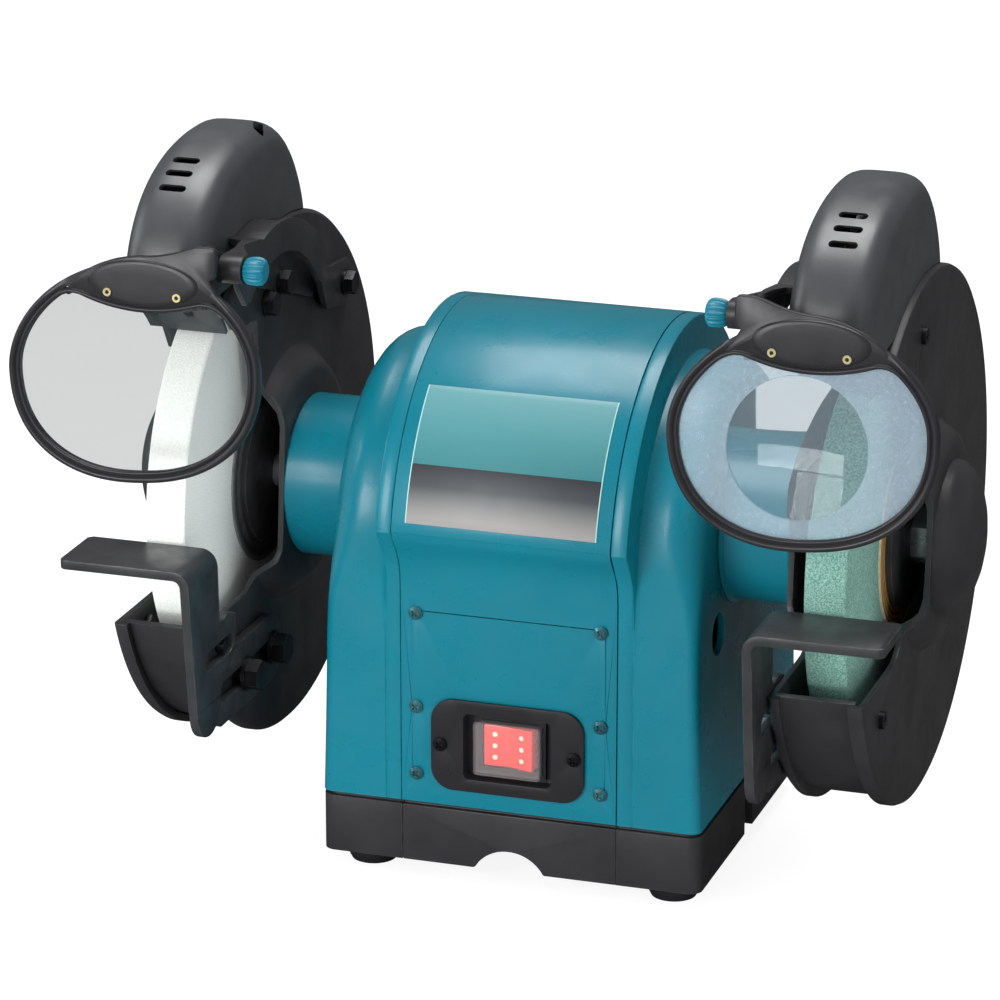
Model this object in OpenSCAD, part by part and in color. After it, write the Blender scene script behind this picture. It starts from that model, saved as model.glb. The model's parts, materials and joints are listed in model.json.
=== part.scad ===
// Double-ended bench grinder: 205 mm wheels on one motor shaft, in guarded housings with
// tool rests, spark arresters, work lamps and tilting eye shields.
// Frame: +Z up, +X to the right-hand wheel, operator stands on the -Y side.
// Origin: centre of the four feet on the bench. Units: millimetres.
// Modules are written for the right-hand side (+X) about the spindle axis, and mirrored.

/* [Overall] */
// Height of the spindle axis above the bench
spindle_height = 168; // [166:1:180]
// How far the spindle axis lies in front of the middle of the base
spindle_forward = 13; // [10:1:16]

/* [Grinding wheels] */
// Wheel radius
wheel_r = 102.5; // [98:0.5:102.5]
// Wheel width
wheel_w = 19; // [16:1:19]
// Distance of the wheel's middle from the middle of the machine
wheel_x = 154.1; // [154:0.1:155]
// Radius of the arbor hole in the wheel
wheel_bore_r = 15.9; // [15.9:0.1:16]

/* [Shaft and bearings] */
// Radius of the threaded shaft end that carries the wheel
arbor_r = 7.94; // [7.9:0.02:7.94]
// Radius of the shaft in the bearings
journal_r = 8.5; // [8.5:0.1:8.5]
// Radius of the shaft under the rotor
rotor_shaft_r = 10; // [9.5:0.5:11]
// Outer radius of a bearing
bearing_r = 20; // [20:0.5:20]
// Width of a bearing
bearing_w = 12; // [12:1:12]

/* [Motor housing] */
// Half width of the centre shell, where the seams are
seam_x = 51.5; // [50:0.5:52]
// Radius of the shell's arched top
arch_r = 100.5; // [99:0.5:101]
// Height of the arch's centre relative to the spindle
arch_z = -13.5; // [-14:0.5:-13]
// Half depth of the housing below the arch
body_half_d = 86; // [85:0.5:86]
// Shell wall
shell_t = 3; // [2:0.5:3.5]
// Half width of the housing at its foot
body_half_w = 91; // [90:0.5:92]
// Radius of the tubes that reach out to the guards
neck_r = 38; // [36:1:40]
// End of the tube, where the guard is bolted on
neck_end = 121; // [121:1:121]

/* [Base] */
// Height of the underside of the base above the bench
base_gap = 9.5; // [8:0.5:12]
// Height of the housing's lower edge above the bench
base_top = 39; // [38:1:40]
// Distance of the feet from the middle, left to right
foot_x = 73; // [70:1:74]
// Distance of the feet from the middle, front to back
foot_y = 64; // [62:1:70]
// Radius of the bench bolt holes through the feet
bench_hole_r = 4.3; // [4:0.1:4.5]

/* [Guards] */
// Outer radius of the guard discs
guard_r = 123.3; // [122:0.1:124]
// Inboard face of the guard pan
guard_in = 132.5; // [132:0.5:133]
// Outboard face of the guard cover
guard_out = 175.5; // [175:0.5:176]
// Sheet thickness
sheet = 2.5; // [2:0.5:2.5]
// Direction of the spark arrester, from the rear over the top
arrester_a = 126; // [124:1:128]

/* [Tool rests] */
// Height of the table relative to the spindle
rest_z = -5; // [-8:1:-4]
// Plate thickness of the tool rests
rest_t = 4.5; // [4:0.5:5]

/* [Eye shields] */
// Shield hinge, forward of the spindle
hinge_y = -108; // [-109:0.5:-107]
// Shield hinge, above the spindle
hinge_z = 127.7; // [126:0.1:129]
// Backward lean of the hanging shield
shield_lean = 5.8; // [4:0.1:7]

/* [Hidden] */
$fn = 64;
eps = 0.01;
foot_r = 12;
base_h = base_top - base_gap;
floor_z = -spindle_height;
base_z0 = base_gap - spindle_height;
base_z1 = base_top - spindle_height;
body_y = spindle_forward;
base_half_d = 85.5;
seam_gap = 0.1;
rim_x = 59.4;
bell_r = 83;
bell_edge = 16.5;
bell_wall = 88.2;
lip_z = 5;
rest_in = guard_in - 0.5 - rest_t;
hinge_hole_r = 2.58;
hinge_pin_r = 2.5;
flange_w = 6;
wheel_in = wheel_x - wheel_w / 2;
wheel_out = wheel_x + wheel_w / 2;
blotter_t = 0.8;
bearing_x = 104;
stator_r = 64;
stator_bore_r = 34;
stator_half = 32;
tie_r = 59.5;
screw_z = [-36.8, -82.1, -114.7];
screw_x = 44.1;
switch_z = -98.5;
rest_bolts_at = [[-72.7, -76], [-38, -75]];
rest_stud_at = [-96, -54.5];
cover_screw_a = [-144, -21.5, 101.4];
bracket_rear = [72, 73];
bracket_front = [-27, 89];
hood_bolt_at = [-14, 96];
lens_h = -34.4;
lens_rx = 59.7;
lens_rz_top = 48.5;
lens_rz_low = 51;
// Turn of the oval in its own plane; both shields have the same moulding, so both turn the same way
lens_turn = 4.5;

// ---------- helpers ----------

// Children in the spindle's frame
module at_spindle() { translate([0, -spindle_forward, spindle_height]) children(); }

// Right side as drawn, left side mirrored
module on_side(s) {
  if (s < 0) mirror([1, 0, 0]) children();
  else children();
}

// Both sides
module both_sides() {
  on_side(1) children();
  on_side(-1) children();
}

// A drawing in the YZ plane, extruded along X
module along_x(x0, x1) { translate([x0, 0, 0]) rotate([90, 0, 90]) linear_extrude(x1 - x0) children(); }

// A drawing in the XZ plane, extruded along Y
module along_y(y0, y1) { translate([0, y1, 0]) rotate([90, 0, 0]) linear_extrude(y1 - y0) children(); }

// A rod along X at a place in the YZ plane
module rod_x(x0, x1, r, p = [0, 0]) { translate([x0, p[0], p[1]]) rotate([0, 90, 0]) cylinder(h = x1 - x0, r = r); }

// A rod along Y at a place in the XZ plane
module rod_y(y0, y1, r, p = [0, 0]) { translate([p[0], y1, p[1]]) rotate([90, 0, 0]) cylinder(h = y1 - y0, r = r); }

// A hexagon prism along X, measured across its flats
module hex_x(x0, x1, af, p = [0, 0]) {
  translate([x0, p[0], p[1]]) rotate([0, 90, 0]) cylinder(h = x1 - x0, r = af / sqrt(3), $fn = 6);
}

// Points [radius, x] turned about the X axis
module turned(points) { rotate([0, 90, 0]) rotate_extrude($fn = 128) polygon(points); }

// The frame of a radial direction: local Y points outward, local Z forward
module radial(a) { rotate([a, 0, 0]) children(); }

// A rectangle with round corners
module round_rect(w, h, r) {
  square([w - 2 * r, h], center = true);
  square([w, h - 2 * r], center = true);
  for (i = [-1, 1], j = [-1, 1]) translate([i * (w / 2 - r), j * (h / 2 - r)]) circle(r);
}

// A slot outline between two points
module slot(p, q, r) {
  translate(p) circle(r);
  translate(q) circle(r);
  translate([p[0], p[1] - r]) square([q[0] - p[0], 2 * r]);
}

function bezier(a, b, c, d, t) =
  pow(1 - t, 3) * a + 3 * pow(1 - t, 2) * t * b + 3 * (1 - t) * t * t * c + t * t * t * d;
function curve(a, b, c, d, n) = [for (i = [0 : n]) bezier(a, b, c, d, i / n)];
function mirrored(points) = [for (i = [len(points) - 1 : -1 : 0]) [-points[i][0], points[i][1]]];
function arc(c, r, a0, a1, n) = [for (i = [0 : n]) let (a = a0 + (a1 - a0) * i / n) c + r * [cos(a), sin(a)]];

// ---------- housing outline ----------

// Half depth of the ledge under the arch, from the lip down to the flat panel
function ledge(t) = curve([sqrt(pow(arch_r - t, 2) - pow(lip_z - arch_z, 2)) - 0.12, lip_z + 0.4],
  [98.1 - t, -2], [body_half_d - t, -6], [body_half_d - t, -24], 8);

// Outline of shell and rims, inset by t
module shell_outline(t) {
  right = concat([[body_half_d - t, base_z1]], [for (i = [8 : -1 : 0]) ledge(t)[i]]);
  translate([body_y, 0]) {
    polygon(concat(right, mirrored(right)));
    intersection() {
      translate([0, arch_z]) circle(arch_r - t, $fn = 160);
      translate([-arch_r, lip_z]) square([2 * arch_r, arch_r]);
    }
  }
}

// Outline of the bell: legs [half depth, z] under an arch
function bell_points(legs, r, a0) = concat(legs, arc([0, arch_z + 0.5], r, a0, 180 - a0, 28), mirrored(legs));

// One thin slice of the bell at x
module bell_slice(x, legs, r, a0) {
  translate([0, body_y, 0]) along_x(x, x + eps) polygon(bell_points(legs, r, a0));
}

// The bell outside the rim, with its softly rounded end and its wall spreading to the foot; t insets it
module bell(t) {
  foot = base_z1 - (t > 0 ? 1 : 0);
  leg = body_half_d - t;
  hull() {
    bell_slice(rim_x - t, [[leg, foot], [leg, -50], [bell_r - t, -13]], bell_r - t, 2);
    bell_slice(bell_wall - bell_edge * 0.5 - t, [[leg, foot], [leg - 1.4, -42], [leg - 4.6, -16]], bell_r - 2.2 - t, 5);
    bell_slice(bell_wall - bell_edge * 0.134 - t, [[leg - 1, foot], [leg - 6, -38], [leg - 10.5, -18]], bell_r - 8.2 - t, 9);
    bell_slice(bell_wall - t, [[leg - 7, -40], [leg - 15, -20]], bell_r - bell_edge - t, 14);
    translate([0, body_y, 0]) along_x(body_half_w - t - eps, body_half_w - t)
      polygon([[-leg + 3, foot], [-leg + 5, foot + 3], [leg - 5, foot + 3], [leg - 3, foot]]);
  }
}

// ---------- base ----------

// Full base footprint in the spindle's frame, inset by t
module base_block_plan(t) {
  translate([0, body_y]) round_rect(2 * (body_half_w - t), 2 * (base_half_d - t), 6 - t / 2);
}

// Solid base with its inset top edge
module base_solid() {
  translate([0, 0, base_z0]) linear_extrude(base_h - 2.2) base_block_plan(0);
  translate([0, 0, base_z1 - 2.2 - eps]) linear_extrude(2.2 + eps) base_block_plan(2.5);
}

function foot_places() = [for (i = [-1, 1]) [foot_x, body_y + i * foot_y]];

module base_block(s) {
  color("#2c2c2e") on_side(s) difference() {
    union() {
      difference() {
        intersection() {
          base_solid();
          translate([seam_x, -200, base_z0 - 1]) cube([100, 400, base_h + 2]);
        }
        translate([seam_x + 4, body_y - base_half_d + 4, base_z0 - 1])
          cube([body_half_w - seam_x - 8, 2 * base_half_d - 8, base_h - 2]);
      }
      for (p = foot_places()) translate([p[0], p[1], base_z0]) cylinder(h = base_h - 2, r = 12.2);
    }
    for (p = foot_places()) {
      translate([p[0], p[1], base_z0 - 1]) cylinder(h = 21, r = bench_hole_r);
      translate([p[0], p[1], base_z0 - 1]) cylinder(h = 6.2, r = 7.1);
    }
    translate([body_half_w - 3.5, 5.3, base_z0 - 1]) cube([10, 13.4, base_h - 6]);
  }
}

module base_centre_pan() {
  w = seam_x - seam_gap;
  color("#333336") difference() {
    intersection() {
      base_solid();
      translate([-w, -200, base_z0 - 1]) cube([2 * w, 400, base_h + 2]);
    }
    translate([-w + 4, body_y - base_half_d + 4, base_z0 - 1]) cube([2 * w - 8, 2 * base_half_d - 8, base_h - 2.5]);
    // Arched cut-out for the cable in the front edge
    rod_y(-100, -60, 19.1, [0, base_z0 + 9.5 - 19.1]);
  }
}

module rubber_feet() {
  color("#1c1c1e") both_sides() for (p = foot_places()) translate([p[0], p[1], 0]) difference() {
    union() {
      translate([0, 0, floor_z + 3]) cylinder(h = base_gap - 3, r = foot_r);
      translate([0, 0, floor_z]) cylinder(h = 3 + eps, r1 = foot_r - 1.5, r2 = foot_r);
      translate([0, 0, base_z0 - eps]) cylinder(h = 5, r = 7);
    }
    translate([0, 0, floor_z - 1]) cylinder(h = 30, r = bench_hole_r);
  }
}

// ---------- motor housing ----------

module end_housing(s) {
  color("#1f8296") on_side(s) difference() {
    union() {
      difference() {
        union() {
          along_x(seam_x, rim_x) shell_outline(0);
          bell(0);
        }
        along_x(seam_x - 1, rim_x - 3) shell_outline(shell_t);
        bell(3.5);
        translate([rim_x - 8, body_y - 70, base_z1 - 5]) cube([25, 140, 6]);
      }
      // Lips that the shell is screwed to, front and back
      for (i = [-1, 1]) translate([38, body_y + i * (body_half_d - shell_t - 0.2 - 2) - 2, base_z1 + 2])
        cube([seam_x - 38 + 9, 4.1, 108]);
      // Stator seat, carried out to the outer wall
      difference() {
        rod_x(24, 85, 69);
        rod_x(23, stator_half + 0.3, stator_r + 0.05);
        rod_x(stator_half, 50, 55.5);
        rod_x(50 - eps, 82.5, 65);
      }
      rod_x(84, neck_end, neck_r);
    }
    rod_x(70, 100, 28);
    rod_x(100 - eps, bearing_x + bearing_w, bearing_r + 0.02);
    rod_x(110, neck_end + 1, 13);
    for (a = [45 : 90 : 315]) {
      rod_x(neck_end - 14, neck_end + 1, 2.4, 28 * [cos(a), sin(a)]);
      rod_x(20, 60, 2.7, tie_r * [cos(a), sin(a)]);
    }
    // Drain and cable hole in the side wall
    rod_x(80, 100, 10, [-37.5, -44.5]);
    for (i = [-1, 1], z = screw_z)
      rod_y(body_y + i * (body_half_d - 2) - 8, body_y + i * (body_half_d - 2) + 8, 1.7, [screw_x, z]);
  }
}

module motor_shell() {
  w = seam_x - seam_gap;
  color("#1f8296") difference() {
    along_x(-w, w) difference() {
      shell_outline(0);
      shell_outline(shell_t);
      translate([body_y - body_half_d + shell_t, base_z1 - 1]) square([2 * (body_half_d - shell_t), 4]);
    }
    // Window for the switch
    along_y(body_y - body_half_d - 5, body_y - 60) translate([0, switch_z]) round_rect(46, 36, 4);
    for (i = [-1, 1], j = [-1, 1], z = screw_z)
      rod_y(body_y + i * body_half_d - 6, body_y + i * body_half_d + 6, 2.1, [j * screw_x, z]);
    for (j = [-1, 1]) rod_y(body_y - body_half_d - 6, body_y - body_half_d + 6, 1.7, [j * 32, switch_z]);
    // Hole for the cable gland
    rod_y(body_y + body_half_d - 6, body_y + body_half_d + 6, 8.1, [0, -108]);
  }
}

// A pan-head screw along -Y, its head outside y
module pan_screw(y, head_r, shank_r, depth) {
  rod_y(y, y + depth, shank_r);
  difference() {
    union() {
      rod_y(y - 1.2, y, head_r);
      translate([0, y - 1.2, 0]) rotate([90, 0, 0]) cylinder(h = 1, r1 = head_r, r2 = head_r * 0.6);
    }
    for (a = [45, 135]) rotate([0, a, 0]) translate([-head_r * 0.55, y - 3, -0.5]) cube([head_r * 1.1, 2, 1]);
  }
}

module shell_screws() {
  color("#3a93a5") for (j = [-1, 1], z = screw_z) {
    translate([j * screw_x, 0, z]) pan_screw(body_y - body_half_d, 3.2, 1.6, 7.5);
    translate([j * screw_x, 2 * body_y, z]) mirror([0, 1, 0]) pan_screw(body_y - body_half_d, 3.2, 1.6, 7.5);
  }
}

module badge_plate() {
  color("#4fa3a3") translate([-45, body_y, arch_z]) rotate([0, 90, 0]) rotate([0, 0, 90])
    rotate([0, 0, 270 - 51 - 90]) rotate_extrude(angle = 37.6, $fn = 160) translate([arch_r + 0.02, 0]) square([0.4, 90]);
}

// ---------- switch ----------

module switch_bezel() {
  front = body_y - body_half_d;
  color("#29292b") difference() {
    union() {
      along_y(front - 2, front) translate([0, switch_z]) round_rect(73, 44, 10.5);
      along_y(front - eps, front + 8) translate([0, switch_z]) round_rect(45.6, 35.6, 3.8);
    }
    along_y(front - 3, front + 5.5) translate([0, switch_z]) round_rect(42, 32, 3);
    along_y(front - 3, front + 9) translate([0, switch_z]) square([30.2, 26.2], center = true);
    for (j = [-1, 1]) rod_y(front - 6, front + 6, 1.7, [j * 32, switch_z]);
  }
}

module bezel_screws() {
  color("#1b1b1d") for (j = [-1, 1]) translate([j * 32, 0, switch_z]) pan_screw(body_y - body_half_d - 2, 3.2, 1.6, 8);
}

module switch_body() {
  front = body_y - body_half_d;
  color("#1e1e20") difference() {
    union() {
      along_y(front + 3, front + 5.5) translate([0, switch_z]) square([34, 28], center = true);
      along_y(front + 5.4, front + 32) translate([0, switch_z]) square([30, 26], center = true);
    }
    along_y(front + 2, front + 22) translate([0, switch_z]) square([26.4, 21], center = true);
    translate([0, front + 9, switch_z - 12]) cylinder(h = 24, r = 1.6);
  }
}

// Rocker in its off position; it turns about a vertical pin
module switch_rocker() {
  front = body_y - body_half_d;
  color("#e8573f") translate([0, front + 9, switch_z]) rotate([0, 0, -7]) {
    translate([0, 0, -10]) linear_extrude(20)
      polygon([[-12.1, -7.5], [0, -5.4], [12.1, -7.5], [12.1, 1.5], [4, 7], [-4, 7], [-12.1, 1.5]]);
    translate([0, 0, -11.6]) cylinder(h = 23.2, r = 1.52);
  }
}

module switch_cover() {
  front = body_y - body_half_d;
  color([0.9, 0.9, 0.92, 0.35]) difference() {
    along_y(front - 2.4, front + 3) translate([0, switch_z]) round_rect(32, 26, 2);
    along_y(front - 1.4, front + 4) translate([0, switch_z]) round_rect(30, 24, 1.5);
  }
}

// ---------- motor ----------

module stator_core() {
  color("#6f7478") difference() {
    rod_x(-stator_half, stator_half, stator_r);
    rod_x(-stator_half - 1, stator_half + 1, stator_bore_r);
    for (a = [45 : 90 : 315]) rod_x(-stator_half - 1, stator_half + 1, 2.7, tie_r * [cos(a), sin(a)]);
    for (a = [0 : 30 : 330]) rotate([a, 0, 0]) translate([-stator_half - 1, -2, stator_bore_r + 2]) cube([2 * stator_half + 2, 4, 15]);
  }
}

module stator_windings() {
  color("#b5651d") {
    for (s = [-1, 1]) on_side(s)
      turned([[38, 32.3], [52, 32.3], [54, 35], [54, 43], [50, 47], [42, 47], [38, 43]]);
  }
}

module tie_bolts() {
  color("#9aa0a3") for (a = [45 : 90 : 315]) {
    p = tie_r * [cos(a), sin(a)];
    rod_x(-54, 54, 2.5, p);
    hex_x(50.1, 54.1, 8, p);
    hex_x(-54.1, -50.1, 8, p);
  }
}

module start_capacitor() {
  color("#3b3f45") {
    rod_x(-29, 29, 16, [60, -108]);
    rod_x(-32, -29 + eps, 5, [60, -108]);
    for (i = [-1, 1]) translate([i * 18 - 4, 50, base_z1]) cube([8, 20, 10]);
  }
}

module terminal_block() {
  color("#d8d2c0") translate([-24, 4, base_z1]) difference() {
    cube([48, 18, 14]);
    for (i = [0 : 3]) translate([6 + i * 12, 9, 6]) cylinder(h = 9, r = 2.6);
  }
}

// Inlet for the mains lead in the back wall
module cable_gland() {
  back = body_y + body_half_d;
  color("#202022") difference() {
    union() {
      rod_y(back - 12, back + 1, 8, [0, -108]);
      translate([0, 0, -108]) rotate([0, 0, 0]) translate([0, back + 7, 0]) rotate([90, 0, 0])
        cylinder(h = 7, r = 11);
      translate([0, back - shell_t, -108]) rotate([90, 0, 0]) cylinder(h = 4, r = 12, $fn = 6);
    }
    rod_y(back - 13, back + 9, 4.2, [0, -108]);
  }
}

module shaft_bearings() {
  color("#b9bdc0") both_sides() translate([bearing_x, 0, 0]) {
    turned([[16, 0.3], [bearing_r, 0.3], [bearing_r, bearing_w - 0.3], [16, bearing_w - 0.3],
      [16, 8.5], [17.2, 7.2], [17.2, 4.8], [16, 3.5]]);
    turned([[journal_r + 0.05, 0.3], [12.2, 0.3], [12.2, 3.5], [11, 4.8], [11, 7.2], [12.2, 8.5],
      [12.2, bearing_w - 0.3], [journal_r + 0.05, bearing_w - 0.3]]);
    for (a = [0 : 45 : 315]) translate([bearing_w / 2, 14.1 * cos(a), 14.1 * sin(a)]) sphere(r = 3, $fn = 32);
  }
}

// ---------- rotor ----------

module motor_shaft() {
  color("#a9adb0") union() {
    rod_x(-bearing_x + 0.4, bearing_x - 0.4, rotor_shaft_r);
    rod_x(-136, 136, journal_r);
    rod_x(-184, 184, arbor_r);
  }
}

module rotor_core() {
  color("#7d8285") difference() {
    rod_x(-stator_half, stator_half, stator_bore_r - 0.5);
    rod_x(-stator_half - 1, stator_half + 1, rotor_shaft_r + 0.02);
  }
}

module rotor_end_rings() {
  color("#c2c6c9") both_sides() difference() {
    rod_x(stator_half + 0.02, stator_half + 6, 32.5);
    rod_x(stator_half - 1, stator_half + 7, 22);
  }
}

module wheel(s) {
  color(s < 0 ? "#e9eeea" : "#86ab9c") on_side(s) difference() {
    turned([[wheel_bore_r, wheel_in], [wheel_r - 1, wheel_in], [wheel_r, wheel_in + 1],
      [wheel_r, wheel_out - 1], [wheel_r - 1, wheel_out], [wheel_bore_r, wheel_out]]);
  }
}

module arbor_bushings() {
  color("#d9d9d4") both_sides() difference() {
    rod_x(wheel_in + 0.3, wheel_out - 0.3, wheel_bore_r - 0.03);
    rod_x(wheel_in, wheel_out, arbor_r + 0.03);
  }
}

module wheel_blotters() {
  color("#c8963c") both_sides() for (x = [wheel_in - blotter_t, wheel_out]) difference() {
    rod_x(x, x + blotter_t, 44);
    rod_x(x - 1, x + 2, arbor_r + 0.1);
  }
}

// Cupped clamping flange whose rim bears on the wheel at x = 0 and whose hub faces +X
module clamp_flange() {
  turned([[arbor_r + 0.03, 1], [27, 1], [27, 0], [35, 0], [35, 3], [31, 5], [16, flange_w], [arbor_r + 0.03, flange_w]]);
}

module inner_flanges() {
  color("#4b4f52") both_sides() translate([wheel_in - blotter_t, 0, 0]) mirror([1, 0, 0]) clamp_flange();
}

module outer_flanges() {
  color("#4b4f52") both_sides() translate([wheel_out + blotter_t, 0, 0]) clamp_flange();
}

module wheel_nuts() {
  x = wheel_out + blotter_t + flange_w;
  color("#9a9fa2") both_sides() difference() {
    hex_x(x, x + 10, 24);
    rod_x(x - 1, x + 11, arbor_r + 0.03);
  }
}

// ---------- guards ----------

// Opening for the work, in front of the wheel; the cover's edge has a small pointed tongue
module guard_opening(tongue) {
  low = [[-140, -42.5], [-66, -42.5]];
  back = arc([-62, -20], 22.5, -80, -4, 6);
  top = tongue ? [[-34, 46], [-33.5, 75.3], [-41, 67.9], [-48.3, 79.7], [-62.5, 84.1], [-66.7, 88.7]]
    : [[-33.5, 46], [-39, 84], [-67, 87]];
  polygon(concat(low, back, top, [[-77, 98], [-140, 98]]));
}

module guard(s) {
  band_r = 119.3;
  color("#2b2b2d") on_side(s) difference() {
    union() {
      difference() {
        turned([[13, neck_end], [48, neck_end], [53, neck_end + 2], [60, guard_in - 1.5], [64, guard_in],
          [guard_r - 1.8, guard_in], [guard_r, guard_in + 1.8], [guard_r, guard_in + 5], [119, guard_in + 5],
          [119, guard_in + sheet], [63, guard_in + sheet], [58, guard_in + 0.7], [51.6, neck_end + 4.2],
          [47.5, neck_end + sheet], [13, neck_end + sheet]]);
        along_x(neck_end - 1, guard_out) guard_opening(false);
      }
      // Rim band from the lower lip round the back to the spark arrester
      difference() {
        rod_x(guard_in + sheet - eps, guard_out - 4.5, band_r);
        rod_x(guard_in, guard_out, band_r - sheet);
        along_x(guard_in, guard_out) polygon(concat([[0, 0]], arc([0, 0], 200, arrester_a - 0.4, 201, 8)));
      }
      // Tabs for the cover screws
      for (a = cover_screw_a) radial(a) translate([guard_out - 2 * sheet, 94, -7]) cube([sheet - 0.1, band_r - 94 - 1, 14]);
      // Radial flange for the spark arrester
      radial(arrester_a) translate([guard_in + 4.5, band_r - sheet, -sheet]) cube([32, 139 - band_r + sheet, sheet]);
    }
    for (a = [45 : 90 : 315]) rod_x(neck_end - 1, neck_end + 5, 2.6, 28 * [cos(a), sin(a)]);
    for (a = cover_screw_a) rod_x(guard_out - 2 * sheet - 1, guard_out, 1.9, 101.5 * [cos(a), sin(a)]);
    for (p = rest_bolts_at) rod_x(guard_in - 1, guard_in + 4, 4.0, p);
    for (p = [rest_stud_at, bracket_rear, bracket_front, hood_bolt_at]) rod_x(guard_in - 1, guard_in + 4, 3.1, p);
    radial(arrester_a) translate([guard_in + 20.5, 127, -5]) cylinder(h = 6, r = 2.1);
  }
}

// Dome profile of the cover, set in by t
function dome(t) = [for (i = [0 : 8]) let (a = i * 11.25) [(36 - t) * cos(a), 186 - t + 15.4 * sin(a)]];

module guard_cover(s) {
  color("#303032") on_side(s) difference() {
    turned(concat(
      [[119.7, guard_out - 7], [guard_r, guard_out - 7], [guard_r, guard_out - 2.6], [guard_r - 0.8, guard_out - 0.8],
       [guard_r - 2.6, guard_out], [56, guard_out], [53, guard_out + 1.1], [50.5, 180], [48, 183.5], [44, 185.8], [38, 186.2]],
      dome(0),
      [[0, 186 + 15.4 - sheet]],
      [for (i = [8 : -1 : 0]) dome(sheet)[i]],
      [[36, 183.6], [42.5, 183.2], [46, 181.5], [48, 178.5], [50.5, guard_out - 1.5], [54, guard_out - sheet],
       [119.7, guard_out - sheet]]));
    along_x(guard_out - 20, guard_out + 30) guard_opening(true);
    for (a = cover_screw_a) rod_x(guard_out - 5, guard_out + 1, 2.1, 101.5 * [cos(a), sin(a)]);
  }
}

module cover_screws() {
  color("#1d1d1f") both_sides() for (a = cover_screw_a) {
    p = 101.5 * [cos(a), sin(a)];
    rod_x(guard_out - 8, guard_out + eps, 1.8, p);
    difference() {
      rod_x(guard_out, guard_out + 2.2, 4, p);
      translate([guard_out + 1.2, p[0] - 0.6, p[1] - 2.6]) cube([2, 1.2, 5.2]);
      translate([guard_out + 1.2, p[0] - 2.6, p[1] - 0.6]) cube([2, 5.2, 1.2]);
    }
  }
}

module guard_bolts() {
  color("#3a3a3c") both_sides() for (a = [45 : 90 : 315]) {
    p = 28 * [cos(a), sin(a)];
    rod_x(neck_end - 10, neck_end + sheet + eps, 2.3, p);
    hex_x(neck_end + sheet, neck_end + sheet + 4, 8, p);
  }
}

// ---------- lamp hoods ----------

// Side view of the hood, drawn about its middle; k insets it for the rounded edges
function hood_points(k) = concat(
  curve([36.5 - k, 118 + k * 0.2], [34 - k, 132], [19 - k, 171.5 - k], [-20, 171.5 - k], 9),
  curve([-24, 171.5 - k], [-62, 171.5 - k], [-96 + k, 158 - k], [-106 + k, 128 - k * 0.3], 9),
  [[-112 + k, 106]]);

// Solid hood of half width w about its middle plane, inset by t
module hood_solid(t) {
  mid = 152.75;
  w = 19.25 - t;
  hull() for (f = [-1, -0.94, -0.75, -0.42, 0.42, 0.75, 0.94, 1])
    along_x(mid + f * w, mid + f * w + eps) polygon(hood_points(t + 13 * (1 - sqrt(1 - pow(min(abs(f), 0.995), 4)))));
}

module lamp_hood(s) {
  color("#2d2d30") on_side(s) difference() {
    hood_solid(0);
    hood_solid(2.5);
    hull() {
      translate([152.75 - 12, -96, 97]) cube([24, 110, 12]);
      translate([152.75 - 16, -88, 112]) cube([32, 100, 6]);
    }
    rod_x(120, 180, guard_r + 0.2);
    // Cooling slots in the front, and one on the crown towards the motor
    for (p = [[-68, 165], [-76.5, 161], [-84.5, 156]]) translate([148, p[0], p[1]]) rotate([-30, 0, 0])
      translate([0, -5, -1.4]) cube([12.5, 12, 2.8]);
    translate([139.5, -26, 164]) rotate([0, 0, -20]) cube([3, 15, 12]);
  }
}

module lamp_axis() { translate([152.75, 0, 151]) rotate([0, 0, 0]) rotate([90 + 18, 0, 0]) children(); }

module lamp_sockets() {
  color("#e5e1d8") both_sides() lamp_axis() difference() {
    union() {
      translate([0, 0, 2]) cylinder(h = 28, r = 10.5);
      translate([-14, -9, 0]) cube([28, 18, 2 + eps]);
    }
    translate([0, 0, 8]) cylinder(h = 30, r = 7.6);
  }
}

module lamp_bulbs() {
  color([1, 0.95, 0.8, 0.7]) both_sides() lamp_axis() union() {
    translate([0, 0, 9]) cylinder(h = 24, r = 7.4);
    translate([0, 0, 33 - eps]) cylinder(h = 5, r1 = 7.4, r2 = 10.5);
    translate([0, 0, 38 - 2 * eps]) cylinder(h = 12, r = 10.5);
    translate([0, 0, 50 - 3 * eps]) cylinder(h = 5, r1 = 10.5, r2 = 5);
  }
}

// ---------- shield brackets ----------

// Sector of a ring in the YZ plane between two directions
module ring_sector(c, r0, r1, a0, a1) {
  translate(c) difference() {
    polygon(concat(arc([0, 0], r1, a0, a1, 32), arc([0, 0], r0, a1, a0, 32)));
  }
}

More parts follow.
